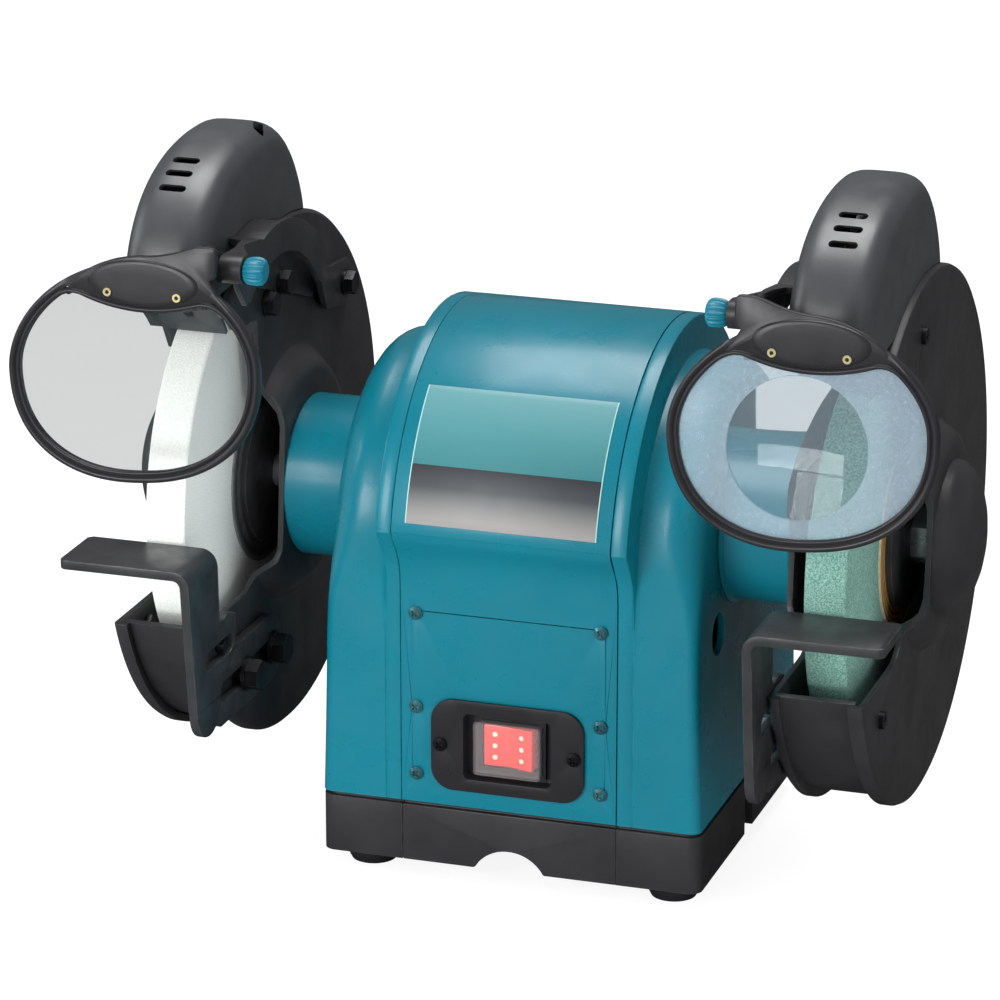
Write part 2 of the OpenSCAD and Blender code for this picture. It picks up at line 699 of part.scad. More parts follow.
module shield_bracket(s) {
  c = [-42, 53];
  ro = 79;
  ri = 64;
  color("#2b2b2d") on_side(s) difference() {
    union() {
      // Arched plate, standing off the guard
      along_x(119.5, 122) union() {
        ring_sector(c, ri, ro, 37, 126);
        polygon([[hinge_y + 4, hinge_z + 5.5], [-84, 132], [-62, 129], [-60, 118], [-84, 104], [-93, 114]]);
      }
      // Strap along its front edge, which runs down into the hinge eye
      intersection() {
        translate([0, 0, 90]) linear_extrude(60) polygon([[111, -116], [111, -104], [119.5, -88], [119.5, -38],
          [133, -38], [133, -71], [126, -72], [121.5, -92], [121.5, -116]]);
        along_x(110, 134) union() {
          ring_sector(c, ro - 2.5, ro, 85, 106);
          polygon([[hinge_y, hinge_z + 6.3], [-84, 133], [-63, 129.8], [-62, 127], [-84, 130.3],
            [hinge_y, hinge_z + 3.6]]);
        }
      }
      rod_x(111, 121.5, 6.3, [hinge_y, hinge_z]);
      // Web that lies on the guard under the arch
      along_x(guard_in - sheet, guard_in - 0.05) intersection() {
        ring_sector(c, 20, ro - 1, 20, 104);
        polygon([[-61, 140], [-61, 106], [-36, 98.5], [-9.5, 90], [30, 76.5], [58, 67.5], [80, 120]]);
      }
      // Side walls that carry the plate, at its crown and at its rear end
      along_x(120, guard_in - 0.05) ring_sector(c, ro - 3.5, ro - 1, 86, 104);
      intersection() {
        translate([0, 0, 50]) linear_extrude(60) polygon([[119.5, 10], [122, 10], [guard_in - 0.05, 46],
          [guard_in - 0.05, 88], [guard_in - sheet, 88], [guard_in - sheet, 47], [119.5, 12.5]]);
        along_x(110, 140) polygon([[6, 99], [16, 106], [24, 99], [50, 86], [76, 84], [84, 77], [82, 66], [72, 62],
          [48, 66], [24, 82], [10, 91]]);
      }
    }
    rod_x(105, 125, hinge_hole_r, [hinge_y, hinge_z]);
    for (p = [bracket_rear, hood_bolt_at]) rod_x(125, 135, 3.1, p);
  }
}

// A hexagon-head bolt with washer; its head bears at x, towards the motor
module bolt_in(x, r, af, p, length, head = 4) {
  rod_x(x - 0.1, x + length, r, p);
  difference() {
    rod_x(x - 1.6, x, af * 0.62, p);
    rod_x(x - 2, x + 1, r, p);
  }
  rod_x(x - 1.6, x, r, p);
  hex_x(x - 1.6 - head, x - 1.6, af, p);
}

module bracket_bolts() {
  color("#3c3c3e") both_sides() {
    bolt_in(guard_in - sheet, 3, 10, bracket_rear, 8);
    bolt_in(guard_in, 3, 10, bracket_front, 6);
    bolt_in(guard_in - sheet, 3, 10, hood_bolt_at, 8);
    // Clamp screws of the spark arresters
    radial(arrester_a) translate([guard_in + 20.5, 127, 0]) {
      translate([0, 0, -6]) cylinder(h = 8.9, r = 2);
      translate([0, 0, 2.7]) cylinder(h = 2.6, r = 4);
      translate([0, 0, -6]) cylinder(h = 3.4, r = 4.1, $fn = 6);
    }
  }
}

// ---------- tool rests ----------

// Side plate of the rest, with its two adjusting slots
module rest_plate() {
  difference() {
    union() {
      polygon([[-141, rest_z - 8], [-105, rest_z - 8], [-104, -40], [-84, -42], [-84, -56], [-80, -58.2],
        [-42.5, -58.2], [-42.5, -91.2], [-104, -91.2], [-130, -80], [-133.5, -74]]);
      translate([-94, -50]) circle(10.5);
      translate([-42.5, -74.7]) circle(16.5);
      translate([-118, -75.5]) circle(14.8);
    }
    slot([-117.5, rest_stud_at[1]], [-92.3, rest_stud_at[1]], 4.4);
    slot([-99.5, -75.5], [-34, -75.5], 4.9);
  }
}

module tool_rest(s) {
  ro = 8;
  color("#3a3a3b") on_side(s) {
    along_x(rest_in, rest_in + rest_t) rest_plate();
    // Bend and table
    intersection() {
      translate([0, 0, 0]) along_y(-141, -105) difference() {
        union() {
          translate([rest_in + ro, rest_z - ro]) circle(ro);
          translate([rest_in + ro, rest_z - ro]) square([190 - rest_in - ro, ro]);
        }
        translate([rest_in + ro, rest_z - ro]) circle(ro - rest_t);
        translate([rest_in + ro, rest_z - 2 * ro]) square([80, 2 * ro - rest_t]);
        translate([rest_in - 1, rest_z - 2 * ro - 1]) square([80, ro + 1]);
      }
      translate([0, 0, rest_z - 30]) linear_extrude(40)
        polygon([[rest_in - 1, -141], [188, -141], [190, -139], [190, -107], [188, -105], [rest_in - 1, -105]]);
    }
  }
}

module rest_bolts() {
  color("#3f3f41") both_sides() {
    for (p = rest_bolts_at) {
      bolt_in(rest_in - 0.3, 3.9, 13, p, guard_in - rest_in + 8, 6);
      difference() {
        hex_x(guard_in + sheet, guard_in + sheet + 5, 13, p);
        rod_x(guard_in, guard_in + 9, 3.9, p);
      }
    }
    rod_x(rest_in + 0.5, guard_in + 6, 3, rest_stud_at);
  }
}

// ---------- spark arresters ----------

module spark_arrester(s) {
  color("#4a4a4c") on_side(s) radial(arrester_a) difference() {
    translate([guard_in + 5, 105, 0.3]) cube([31, 31, 2]);
    translate([guard_in + 20.5 - 2.4, 117.5, 0]) cube([4.8, 10.9, 4]);
    translate([guard_in + 20.5, 117.5, 0]) cylinder(h = 4, r = 2.4);
    translate([guard_in + 20.5, 128.4, 0]) cylinder(h = 4, r = 2.4);
  }
}

// ---------- eye shields ----------

// The shield's own plane: drawing in X and height above the rivets, extruded front to back
module shield_plane(y0, y1) {
  translate([0, -125.5, 118]) rotate([-shield_lean, 0, 0]) along_y(y0, y1) children();
}

function oval(c, rx, rz, n) = [for (i = [0 : n - 1]) let (a = 360 * i / n) [c[0] + rx * cos(a), c[1] + rz * sin(a)]];

// Middle of the shield; the right-hand one hangs a little further in
function lens_x(s) = s < 0 ? 156 : 149.5;

// Outline of the shield: an oval that is fuller below than above, inset by t
function power(v, n) = sign(v) * pow(abs(v), n);
function shield_outline(s, t) = [for (i = [0 : 71]) let (a = 5 * i, up = sin(a) > 0, turn = s * lens_turn,
    u = (lens_rx - t) * power(cos(a), up ? 1.06 : 0.88),
    v = ((up ? lens_rz_top : lens_rz_low) - t) * power(sin(a), up ? 1.06 : 0.88))
  [lens_x(s) + u * cos(turn) - v * sin(turn), lens_h + u * sin(turn) + v * cos(turn)]];

module shield_brow() {
  top = [[117.8, 9], [117.8, 23.5], [127, 23.4], [131, 22], [138.5, 19.3], [148, 17.3], [157, 16.8], [166, 14.9],
    [174.6, 11.6], [182, 7.2], [186.8, 2.6], [189.6, -2.6], [187.9, -3.4]];
  bottom = arc([152, 76.6], 84.7, -66, -114, 12);
  polygon(concat(top, bottom, [[114.4, -3.6], [113, -2.2], [117.2, 3]]));
}

// Opening of the frame: the inside of the ring, under the brow
module lens_window(s, t) {
  intersection() {
    polygon(shield_outline(s, 5.3 - t));
    difference() {
      translate([80, -100]) square([150, 120]);
      translate([152, 76.6]) circle(84.6 - t, $fn = 120);
    }
  }
}

module shield_frame(s) {
  color("#232326") on_side(s) difference() {
    union() {
      shield_plane(-3, 3) difference() {
        polygon(shield_outline(s, 0));
        polygon(shield_outline(s, 5.3));
        translate([120.5, -2]) square([65, 30]);
      }
      shield_plane(-1.6, 1.8) difference() {
        union() {
          shield_brow();
          intersection() {
            polygon(shield_outline(s, 1));
            translate([80, -30]) square([150, 60]);
          }
        }
        lens_window(s, 0);
      }
      shield_plane(-2.8, -1.5) polygon(oval([152, 5], 26.3, 10.4, 40));
      // Ear back to the hinge
      along_x(122.2, 125) {
        polygon([[-126, 112], [-122.6, 141.6], [-113, 139.5], [hinge_y + 3.5, hinge_z + 6.5], [hinge_y + 2, hinge_z - 7],
          [-118, 114]]);
        translate([hinge_y, hinge_z]) circle(7.3);
      }
    }
    // Groove that takes the lens
    shield_plane(-0.75, 0.75) lens_window(s, 1.8);
    rod_x(120, 127, hinge_hole_r, [hinge_y, hinge_z]);
    for (x = [135.3, 168.2]) shield_plane(-5, 5) translate([x, 0]) circle(1.6);
  }
}

module shield_lens(s) {
  color(s < 0 ? [0.8, 0.85, 0.85, 0.3] : [0.68, 0.78, 0.85, 0.3]) on_side(s)
    shield_plane(-0.7, 0.7) lens_window(s, 1.6);
}

// Round magnifying lens bonded to the inside of the right-hand shield
module magnifier_lens() {
  color([0.75, 0.85, 0.95, 0.3]) translate([0, -125.5, 118]) rotate([-shield_lean, 0, 0])
    translate([147.5, 0.72, -40.8]) rotate([-90, 0, 0]) rotate_extrude($fn = 128)
      polygon([[0, 0], [31.4, 0], [31.4, 0.8], [25, 2], [17, 3.2], [8, 3.8], [0, 4]]);
}

module shield_rivets(s) {
  color("#cdbb86") on_side(s) for (x = [135.3, 168.2]) translate([0, -125.5, 118]) rotate([-shield_lean, 0, 0])
    translate([x, 0, 0]) difference() {
      union() {
        rod_y(-2.9, 1.9, 1.5);
        rod_y(-3.5, -2.8, 1.9);
        rod_y(1.8, 2.4, 1.9);
      }
      rod_y(-4, 3, 0.9);
    }
}

module shield_knob(s) {
  color("#1f9fb8") on_side(s) translate([0, hinge_y, hinge_z]) {
    difference() {
      turned([[0, 101.4], [4.2, 101], [5.8, 101.8], [6.5, 103.4], [6.5, 107.6], [5.7, 109.9], [4.5, 110.6], [0, 110.6]]);
      for (a = [0 : 24 : 336]) rotate([a, 0, 0]) translate([99, 6.8, 0]) rotate([0, 90, 0]) cylinder(h = 13, r = 0.7, $fn = 24);
    }
    rod_x(110.5, 127.5, hinge_pin_r);
  }
}

// ---------- assembly ----------

at_spindle() base_block(-1);  // base_block_left
at_spindle() base_block(1);  // base_block_right
at_spindle() base_centre_pan();
at_spindle() rubber_feet();
at_spindle() end_housing(-1);  // end_housing_left
at_spindle() end_housing(1);  // end_housing_right
at_spindle() motor_shell();
at_spindle() shell_screws();
at_spindle() switch_bezel();
at_spindle() bezel_screws();
at_spindle() switch_body();
at_spindle() switch_rocker();
at_spindle() switch_cover();
at_spindle() badge_plate();
at_spindle() stator_core();
at_spindle() stator_windings();
at_spindle() tie_bolts();
at_spindle() start_capacitor();
at_spindle() terminal_block();
at_spindle() cable_gland();
at_spindle() shaft_bearings();
at_spindle() motor_shaft();
at_spindle() rotor_core();
at_spindle() rotor_end_rings();
at_spindle() wheel(-1);  // wheel_left
at_spindle() wheel(1);  // wheel_right
at_spindle() arbor_bushings();
at_spindle() wheel_blotters();
at_spindle() inner_flanges();
at_spindle() outer_flanges();
at_spindle() wheel_nuts();
at_spindle() guard(-1);  // guard_left
at_spindle() guard(1);  // guard_right
at_spindle() guard_cover(-1);  // guard_cover_left
at_spindle() guard_cover(1);  // guard_cover_right
at_spindle() cover_screws();
at_spindle() guard_bolts();
at_spindle() lamp_hood(-1);  // lamp_hood_left
at_spindle() lamp_hood(1);  // lamp_hood_right
at_spindle() lamp_sockets();
at_spindle() lamp_bulbs();
at_spindle() shield_bracket(-1);  // shield_bracket_left
at_spindle() shield_bracket(1);  // shield_bracket_right
at_spindle() bracket_bolts();
at_spindle() tool_rest(-1);  // tool_rest_left
at_spindle() tool_rest(1);  // tool_rest_right
at_spindle() rest_bolts();
at_spindle() spark_arrester(-1);  // spark_arrester_left
at_spindle() spark_arrester(1);  // spark_arrester_right
at_spindle() shield_frame(-1);  // shield_frame_left
at_spindle() shield_frame(1);  // shield_frame_right
at_spindle() shield_lens(-1);  // shield_lens_left
at_spindle() shield_lens(1);  // shield_lens_right
at_spindle() magnifier_lens();
at_spindle() shield_rivets(-1);  // shield_rivets_left
at_spindle() shield_rivets(1);  // shield_rivets_right
at_spindle() shield_knob(-1);  // shield_knob_left
at_spindle() shield_knob(1);  // shield_knob_right
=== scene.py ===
"""Bench grinder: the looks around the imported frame.

Metres, in the frame of the part: +Z up, +X along the spindle to the right-hand wheel, the operator on the -Y side,
origin on the bench between the four feet. Pieces are drawn in millimetres from the spindle's middle, for the
right-hand side, and mirrored for the left.
"""
import json
import math

import bmesh
import bpy
from mathutils import Matrix, Vector


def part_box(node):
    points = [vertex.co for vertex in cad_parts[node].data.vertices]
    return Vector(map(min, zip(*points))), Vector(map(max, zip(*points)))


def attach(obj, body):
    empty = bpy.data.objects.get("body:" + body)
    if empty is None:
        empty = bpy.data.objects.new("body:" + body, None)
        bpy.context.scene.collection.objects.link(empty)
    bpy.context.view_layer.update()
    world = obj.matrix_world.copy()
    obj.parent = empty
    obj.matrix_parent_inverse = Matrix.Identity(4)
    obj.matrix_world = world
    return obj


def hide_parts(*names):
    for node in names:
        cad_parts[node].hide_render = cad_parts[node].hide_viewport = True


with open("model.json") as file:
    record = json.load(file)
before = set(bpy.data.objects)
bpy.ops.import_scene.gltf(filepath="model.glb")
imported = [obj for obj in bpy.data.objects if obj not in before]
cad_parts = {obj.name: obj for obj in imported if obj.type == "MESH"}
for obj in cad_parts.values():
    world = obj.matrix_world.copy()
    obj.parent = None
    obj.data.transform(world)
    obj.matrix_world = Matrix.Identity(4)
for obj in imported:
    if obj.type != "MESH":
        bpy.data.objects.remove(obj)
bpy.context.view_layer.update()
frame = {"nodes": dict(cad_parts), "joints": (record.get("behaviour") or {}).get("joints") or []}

MM = 0.001
SIDES = {"right": 1, "left": -1}
JOINTS = {joint["name"]: joint for joint in frame["joints"]}
SPINDLE = Vector(JOINTS["spindle_spin"]["pos_m"])
BODY_Y = -SPINDLE.y / MM
HINGE_Y, HINGE_Z = (
    (JOINTS["eye_shield_right_tilt"]["pos_m"][axis] - SPINDLE[axis]) / MM for axis in (1, 2))


# ------------------------------------------------------------------ camera and light

AZIMUTH, ELEVATION = math.radians(18.21), math.radians(18.23)
CAMERA_DISTANCE = 2.238
SENSOR_MM, LENS_MM = 36, 173.3
TARGET = SPINDLE + Vector((-0.0279, 0.0, -0.0042))


def add_camera():
    back = Vector((math.sin(AZIMUTH) * math.cos(ELEVATION), -math.cos(AZIMUTH) * math.cos(ELEVATION),
                   math.sin(ELEVATION)))
    data = bpy.data.cameras.new("camera")
    data.sensor_width = SENSOR_MM
    data.lens = LENS_MM
    camera = bpy.data.objects.new("camera", data)
    camera.location = TARGET + back * CAMERA_DISTANCE
    camera.rotation_euler = back.to_track_quat("Z", "Y").to_euler()
    bpy.context.scene.collection.objects.link(camera)
    bpy.context.scene.camera = camera


def add_area_light(name, place, size, power, mirrored=True):
    data = bpy.data.lights.new(name, "AREA")
    data.shape = "RECTANGLE"
    data.size, data.size_y = size
    data.energy = power
    lamp = bpy.data.objects.new(name, data)
    lamp.location = place
    lamp.rotation_euler = (Vector(place) - SPINDLE).to_track_quat("Z", "Y").to_euler()
    lamp.visible_glossy = mirrored
    bpy.context.scene.collection.objects.link(lamp)


def by_ray(tree, seen, behind, lit, mirrored):
    """A value for the camera, another behind clear sheets, another as light, and another in reflections."""
    path = tree.nodes.new("ShaderNodeLightPath")
    direct, camera = tree.nodes.new("ShaderNodeMath"), tree.nodes.new("ShaderNodeMix")
    direct.operation = "MAXIMUM"
    tree.links.new(path.outputs["Is Camera Ray"], direct.inputs[0])
    tree.links.new(path.outputs["Is Transmission Ray"], direct.inputs[1])
    tree.links.new(direct.outputs[0], camera.inputs["Factor"])
    for ray, low, high, socket in (("Is Glossy Ray", lit, mirrored, "A"), ("Transparent Depth", seen, behind, "B")):
        value = tree.nodes.new("ShaderNodeMapRange")
        value.inputs["To Min"].default_value, value.inputs["To Max"].default_value = low, high
        tree.links.new(path.outputs[ray], value.inputs["Value"])
        tree.links.new(value.outputs["Result"], camera.inputs[socket])
    return camera.outputs["Result"]


def add_studio():
    """White surroundings for the camera, dim ones for the light they give, and large soft boxes."""
    world = bpy.data.worlds.new("studio")
    bpy.context.scene.world = world
    world.use_nodes = True
    background = world.node_tree.nodes["Background"]
    background.inputs["Color"].default_value = (1, 1, 1, 1)
    world.node_tree.links.new(by_ray(world.node_tree, 1.0, 0.66, 0.42, 0.17), background.inputs["Strength"])
    add_area_light("key", (-0.75, -2.0, 0.85), (0.9, 0.9), 22)
    add_area_light("low", (-0.45, -2.2, 0.2), (1.6, 0.38), 28, False)
    add_area_light("right", (1.9, -1.0, 0.9), (0.8, 1.0), 15, False)
    add_area_light("left", (-1.9, -0.5, 0.9), (0.9, 1.1), 9)
    add_area_light("top", (0.0, 0.35, 2.0), (1.7, 1.0), 38)
    bpy.context.scene.view_settings.view_transform = "Standard"
    add_floor()


def add_floor(half=8.0):
    """White bench top that stays out of the visual model."""
    mesh = bpy.data.meshes.new("floor")
    mesh.from_pydata([(-half, -half, 0), (half, -half, 0), (half, half, 0), (-half, half, 0)], [], [(0, 1, 2, 3)])
    floor = bpy.data.objects.new("floor", mesh)
    bpy.context.scene.collection.objects.link(floor)
    material = bpy.data.materials.new("floor_white")
    material.use_nodes = True
    shader = material.node_tree.nodes["Principled BSDF"]
    tree = material.node_tree
    tree.links.new(by_ray(tree, 0.25, 0.17, 0.8, 0.06), shader.inputs["Base Color"])
    shader.inputs["Roughness"].default_value = 0.9
    shader.inputs["Specular IOR Level"].default_value = 0.0
    shader.inputs["Emission Color"].default_value = (1, 1, 1, 1)
    tree.links.new(by_ray(tree, 0.88, 0.54, 0.0, 0.0), shader.inputs["Emission Strength"])
    mesh.materials.append(material)


# ------------------------------------------------------------------ materials

def srgb(r, g, b):
    """Linear colour from 0 to 255 screen values."""
    return tuple(((v / 255 + 0.055) / 1.055) ** 2.4 if v > 10 else v / 255 / 12.92 for v in (r, g, b))


class Surface:
    """One procedural material: mottled colour, uneven gloss, a fine grain and, where asked, rubbed edges."""

    def __init__(self, name, color, roughness, metallic=0.0, **inputs):
        self.slot = name
        self.material = bpy.data.materials.new(name + "_finish")
        self.material.use_nodes = True
        self.nodes, self.links = self.material.node_tree.nodes, self.material.node_tree.links
        self.shader = self.nodes["Principled BSDF"]
        self.coordinates = self.nodes.new("ShaderNodeTexCoord").outputs["Object"]
        self.color, self.roughness = color, roughness
        self.set("Base Color", (*color, 1))
        self.set("Roughness", roughness)
        self.set("Metallic", metallic)
        for key, value in inputs.items():
            self.set(key.replace("_", " "), value)

    def set(self, socket, value):
        self.shader.inputs[socket].default_value = value

    def node(self, kind, **inputs):
        node = self.nodes.new("ShaderNode" + kind)
        for key, value in inputs.items():
            socket = node.inputs[key.replace("_", " ")]
            if isinstance(value, bpy.types.NodeSocket):
                self.links.new(value, socket)
            else:
                socket.default_value = value
        return node

    def noise(self, scale, detail=2.0, stretch=None):
        vector = self.coordinates
        if stretch:
            vector = self.node("Mapping", Vector=vector, Scale=stretch).outputs["Vector"]
        return self.node("TexNoise", Vector=vector, Scale=scale, Detail=detail).outputs["Fac"]

    def spread(self, value, low, high, to_low=0.0, to_high=1.0):
        return self.node("MapRange", Value=value, From_Min=low, From_Max=high, To_Min=to_low,
                         To_Max=to_high).outputs["Result"]

    def math(self, operation, a, b=0.0):
        node = self.nodes.new("ShaderNodeMath")
        node.operation = operation
        for socket, value in zip(node.inputs, (a, b)):
            if isinstance(value, bpy.types.NodeSocket):
                self.links.new(value, socket)
            else:
                socket.default_value = value
        return node.outputs[0]

    def mix(self, factor, a, b):
        node = self.nodes.new("ShaderNodeMix")
        node.data_type = "RGBA"
        self.links.new(factor, node.inputs[0])
        for socket, value in zip(node.inputs[6:8], (a, b)):
            if isinstance(value, bpy.types.NodeSocket):
                self.links.new(value, socket)
            else:
                socket.default_value = (*value, 1)
        return node.outputs[2]

    def link(self, value, socket):
        self.links.new(value, self.shader.inputs[socket])
        return self

    def mottle(self, amount=0.12, scale=45, detail=4.0):
        """Slow change of colour over the surface."""
        dark = tuple(c * (1 - amount) for c in self.color)
        light = tuple(min(1, c * (1 + amount)) for c in self.color)
        self.painted = self.mix(self.spread(self.noise(scale, detail), 0.3, 0.7), dark, light)
        return self.link(self.painted, "Base Color")

    def gloss(self, amount=0.08, scale=70):
        """Patches that shine more and less."""
        shine = self.spread(self.noise(scale, 5.0), 0.3, 0.7, self.roughness - amount, self.roughness + amount)
        return self.link(shine, "Roughness")

    def grain(self, scale=1500, strength=0.1, depth=0.0002, stretch=None, detail=2.0):
        """Fine unevenness, or brush marks where it is stretched."""
        height = self.noise(scale, detail, stretch)
        bump = self.node("Bump", Strength=strength, Distance=depth, Height=height)
        return self.link(bump.outputs["Normal"], "Normal")

    def rubbed(self, color, width=0.0009, amount=0.6):
        """Edges rubbed to a brighter colour, in broken patches."""
        rounded = self.nodes.new("ShaderNodeBevel")
        rounded.samples = 4
        rounded.inputs["Radius"].default_value = width
        flat = self.nodes.new("ShaderNodeNewGeometry").outputs["Normal"]
        turn = self.node("VectorMath")
        turn.operation = "DOT_PRODUCT"
        self.links.new(rounded.outputs["Normal"], turn.inputs[0])
        self.links.new(flat, turn.inputs[1])
        edge = self.spread(turn.outputs["Value"], 0.97, 0.75)
        broken = self.spread(self.noise(160, 6.0), 0.42, 0.6, 0.0, amount)
        mask = self.math("MULTIPLY", edge, broken)
        self.link(self.mix(mask, self.painted, color), "Base Color")
        return self

    def spindle_radius(self):
        """Distance from the spindle's axis, in metres."""
        parts = self.node("SeparateXYZ", Vector=self.coordinates)
        across = self.math("SUBTRACT", parts.outputs["Y"], SPINDLE.y)
        up = self.math("SUBTRACT", parts.outputs["Z"], SPINDLE.z)
        return self.math("SQRT", self.math("ADD", self.math("MULTIPLY", across, across),
                                           self.math("MULTIPLY", up, up)))

    def bands(self, value, stops):
        """Colour ramp over a 0 to 1 value: stops of (position, colour)."""
        ramp = self.nodes.new("ShaderNodeValToRGB")
        self.links.new(value, ramp.inputs[0])
        while len(ramp.color_ramp.elements) < len(stops):
            ramp.color_ramp.elements.new(0.5)
        for element, (position, color) in zip(ramp.color_ramp.elements, stops):
            element.position = position
            element.color = (*color, 1)
        return ramp.outputs[0]


def teal_paint():
    return (Surface("teal_paint", srgb(8, 105, 122), 0.3, Specular_IOR_Level=0.4, Coat_Weight=0.12,
                    Coat_Roughness=0.14)
            .mottle(0.05, 20).gloss(0.05, 60).grain(900, 0.12, 0.0003).rubbed(srgb(80, 165, 176), 0.0007, 0.35))


def black_paint():
    return (Surface("black_paint", srgb(43, 43, 45), 0.4, Specular_IOR_Level=0.4)
            .mottle(0.18, 35).gloss(0.07, 45).grain(700, 0.16, 0.0003).rubbed(srgb(96, 96, 98), 0.0008, 0.5))


def abrasive(name, color, fleck):
    """Bonded grain: angular grits of two tones with pores between them."""
    surface = Surface(name, color, 0.85, Specular_IOR_Level=0.3)
    cells = surface.node("TexVoronoi", Vector=surface.coordinates, Scale=1150.0)
    tone = surface.noise(1300, 3.0)
    base = surface.mix(surface.spread(tone, 0.38, 0.62), color, fleck)
    cloudy = surface.mix(surface.spread(surface.noise(24, 4.0), 0.35, 0.7, 0.0, 0.22), base, fleck)
    surface.link(cloudy, "Base Color")
    pores = surface.node("Bump", Strength=0.3, Distance=0.0004, Height=cells.outputs["Distance"])
    surface.link(pores.outputs["Normal"], "Normal")
    return surface


def blotter_paper():
    """Printed rings: gold on the right-hand wheel, grey on the left."""
    surface = Surface("blotter_paper", srgb(170, 130, 70), 0.5)
    reach = surface.spread(surface.spindle_radius(), 0.034, 0.0442)
    gold, bronze, dark, cream = srgb(205, 158, 78), srgb(120, 78, 40), srgb(40, 30, 26), srgb(206, 196, 170)
    warm = surface.bands(reach, [(0.0, bronze), (0.18, gold), (0.3, dark), (0.42, gold), (0.55, bronze), (0.68, gold),
                                 (0.8, dark), (0.88, cream)])
    cool = surface.bands(reach, [(0.0, srgb(60, 62, 64)), (0.3, srgb(96, 98, 100)), (0.6, srgb(48, 50, 52)),
                                 (0.9, srgb(118, 120, 122))])
    parts = surface.node("SeparateXYZ", Vector=surface.coordinates)
    color = surface.mix(surface.math("GREATER_THAN", parts.outputs["X"], 0.0), cool, warm)
    worn = surface.mix(surface.spread(surface.noise(300, 5.0), 0.5, 0.75, 0.0, 0.5), color, srgb(70, 66, 60))
    surface.link(worn, "Base Color")
    return surface.gloss(0.12, 200).grain(900, 0.3, 0.0002)


def badge_foil():
    """Two plain colour fields: blue-green paling upward, and below it dark running down to warm silver."""
    surface = Surface("badge_foil", srgb(80, 165, 165), 0.4, Specular_IOR_Level=0.3, Coat_Weight=0.1,
                      Coat_Roughness=0.3)
    low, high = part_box("badge_plate")
    parts = surface.node("SeparateXYZ", Vector=surface.coordinates)
    along = surface.spread(parts.outputs["X"], low.x, high.x)
    height = surface.spread(parts.outputs["Z"], low.z, high.z)
    upper = surface.bands(height, [(0.46, srgb(50, 112, 117)), (0.75, srgb(72, 129, 134)), (1.0, srgb(90, 138, 144))])
    lower = surface.bands(height, [(0.0, srgb(140, 138, 136)), (0.12, srgb(120, 120, 119)), (0.3, srgb(60, 64, 68)),
                                   (0.46, srgb(44, 47, 51))])
    border = surface.math("GREATER_THAN", surface.math("ABSOLUTE", surface.math("SUBTRACT", along, 0.5)), 0.494)
    fields = surface.mix(surface.math("GREATER_THAN", height, 0.46), lower, upper)
    surface.link(surface.mix(border, fields, srgb(150, 190, 190)), "Base Color")
    return surface.gloss(0.04, 120).grain(2200, 0.03, 0.0001)


def steel(name, color, roughness=0.32, rub=None, stretch=(1, 14, 1), metallic=0.85):
    surface = (Surface(name, color, roughness, metallic)
               .mottle(0.22, 60, 6.0).gloss(0.09, 110).grain(420, 0.12, 0.00015, stretch))
    return surface.rubbed(rub, 0.0007, 0.8) if rub else surface


def moulded(name, color, roughness=0.42, grain=0.14, **inputs):
    return (Surface(name, color, roughness, **inputs)
            .mottle(0.1, 50).gloss(0.06, 80).grain(1100, grain, 0.0002))


def clear(name, color, alpha, roughness=0.08, coat=0.6):
    """Clear sheet: thin, faintly tinted, with a slight haze and fine speckle."""
    surface = Surface(name, color, roughness, Alpha=alpha, Coat_Weight=coat, Coat_Roughness=0.05)
    surface.material.surface_render_method = "BLENDED"
    return surface.mottle(0.1, 500, 3.0).grain(60, 0.01, 0.0001)


def magnifier_reach(surface):
    """Distance from the magnifier's middle, seen from the front, as a share of its radius."""
    low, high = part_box("magnifier_lens")
    parts = surface.node("SeparateXYZ", Vector=surface.coordinates)
    along = surface.spread(parts.outputs["X"], low.x, high.x, -1.0, 1.0)
    height = surface.spread(parts.outputs["Z"], low.z, high.z, -1.0, 1.0)
    for value in (along, height):
        value.node.clamp = False
    return surface.math("SQRT", surface.math("ADD", surface.math("MULTIPLY", along, along),
                                             surface.math("MULTIPLY", height, height)))


def blue_lens():
    """Cool, hazy sheet with a fine speckle, clearer where the magnifier sits behind it."""
    surface = clear("lens_blue", srgb(144, 163, 175), 0.46, 0.2, 0.2)
    speckle = surface.spread(surface.noise(900, 3.0), 0.35, 0.65, 0.43, 0.5)
    share = surface.spread(magnifier_reach(surface), 0.985, 1.0, 0.25, 1.0)
    surface.link(surface.math("MULTIPLY", speckle, share), "Alpha")
    return surface


def magnifier_glass():
    """Clear acrylic that refracts what lies behind it."""
    surface = Surface("magnifier_glass", srgb(232, 240, 244), 0.02, Transmission_Weight=1.0, IOR=1.49)
    return surface.mottle(0.02, 30)


def laminated(name, color):
    """Stacked sheets seen on edge: fine lines across the spindle."""
    surface = Surface(name, color, 0.4, metallic=0.7)
    wave = surface.node("TexWave", Vector=surface.coordinates, Scale=320.0, Distortion=0.4)
    surface.link(surface.mix(wave.outputs["Fac"], tuple(c * 0.6 for c in color), color), "Base Color")
    return surface.gloss(0.08, 90)


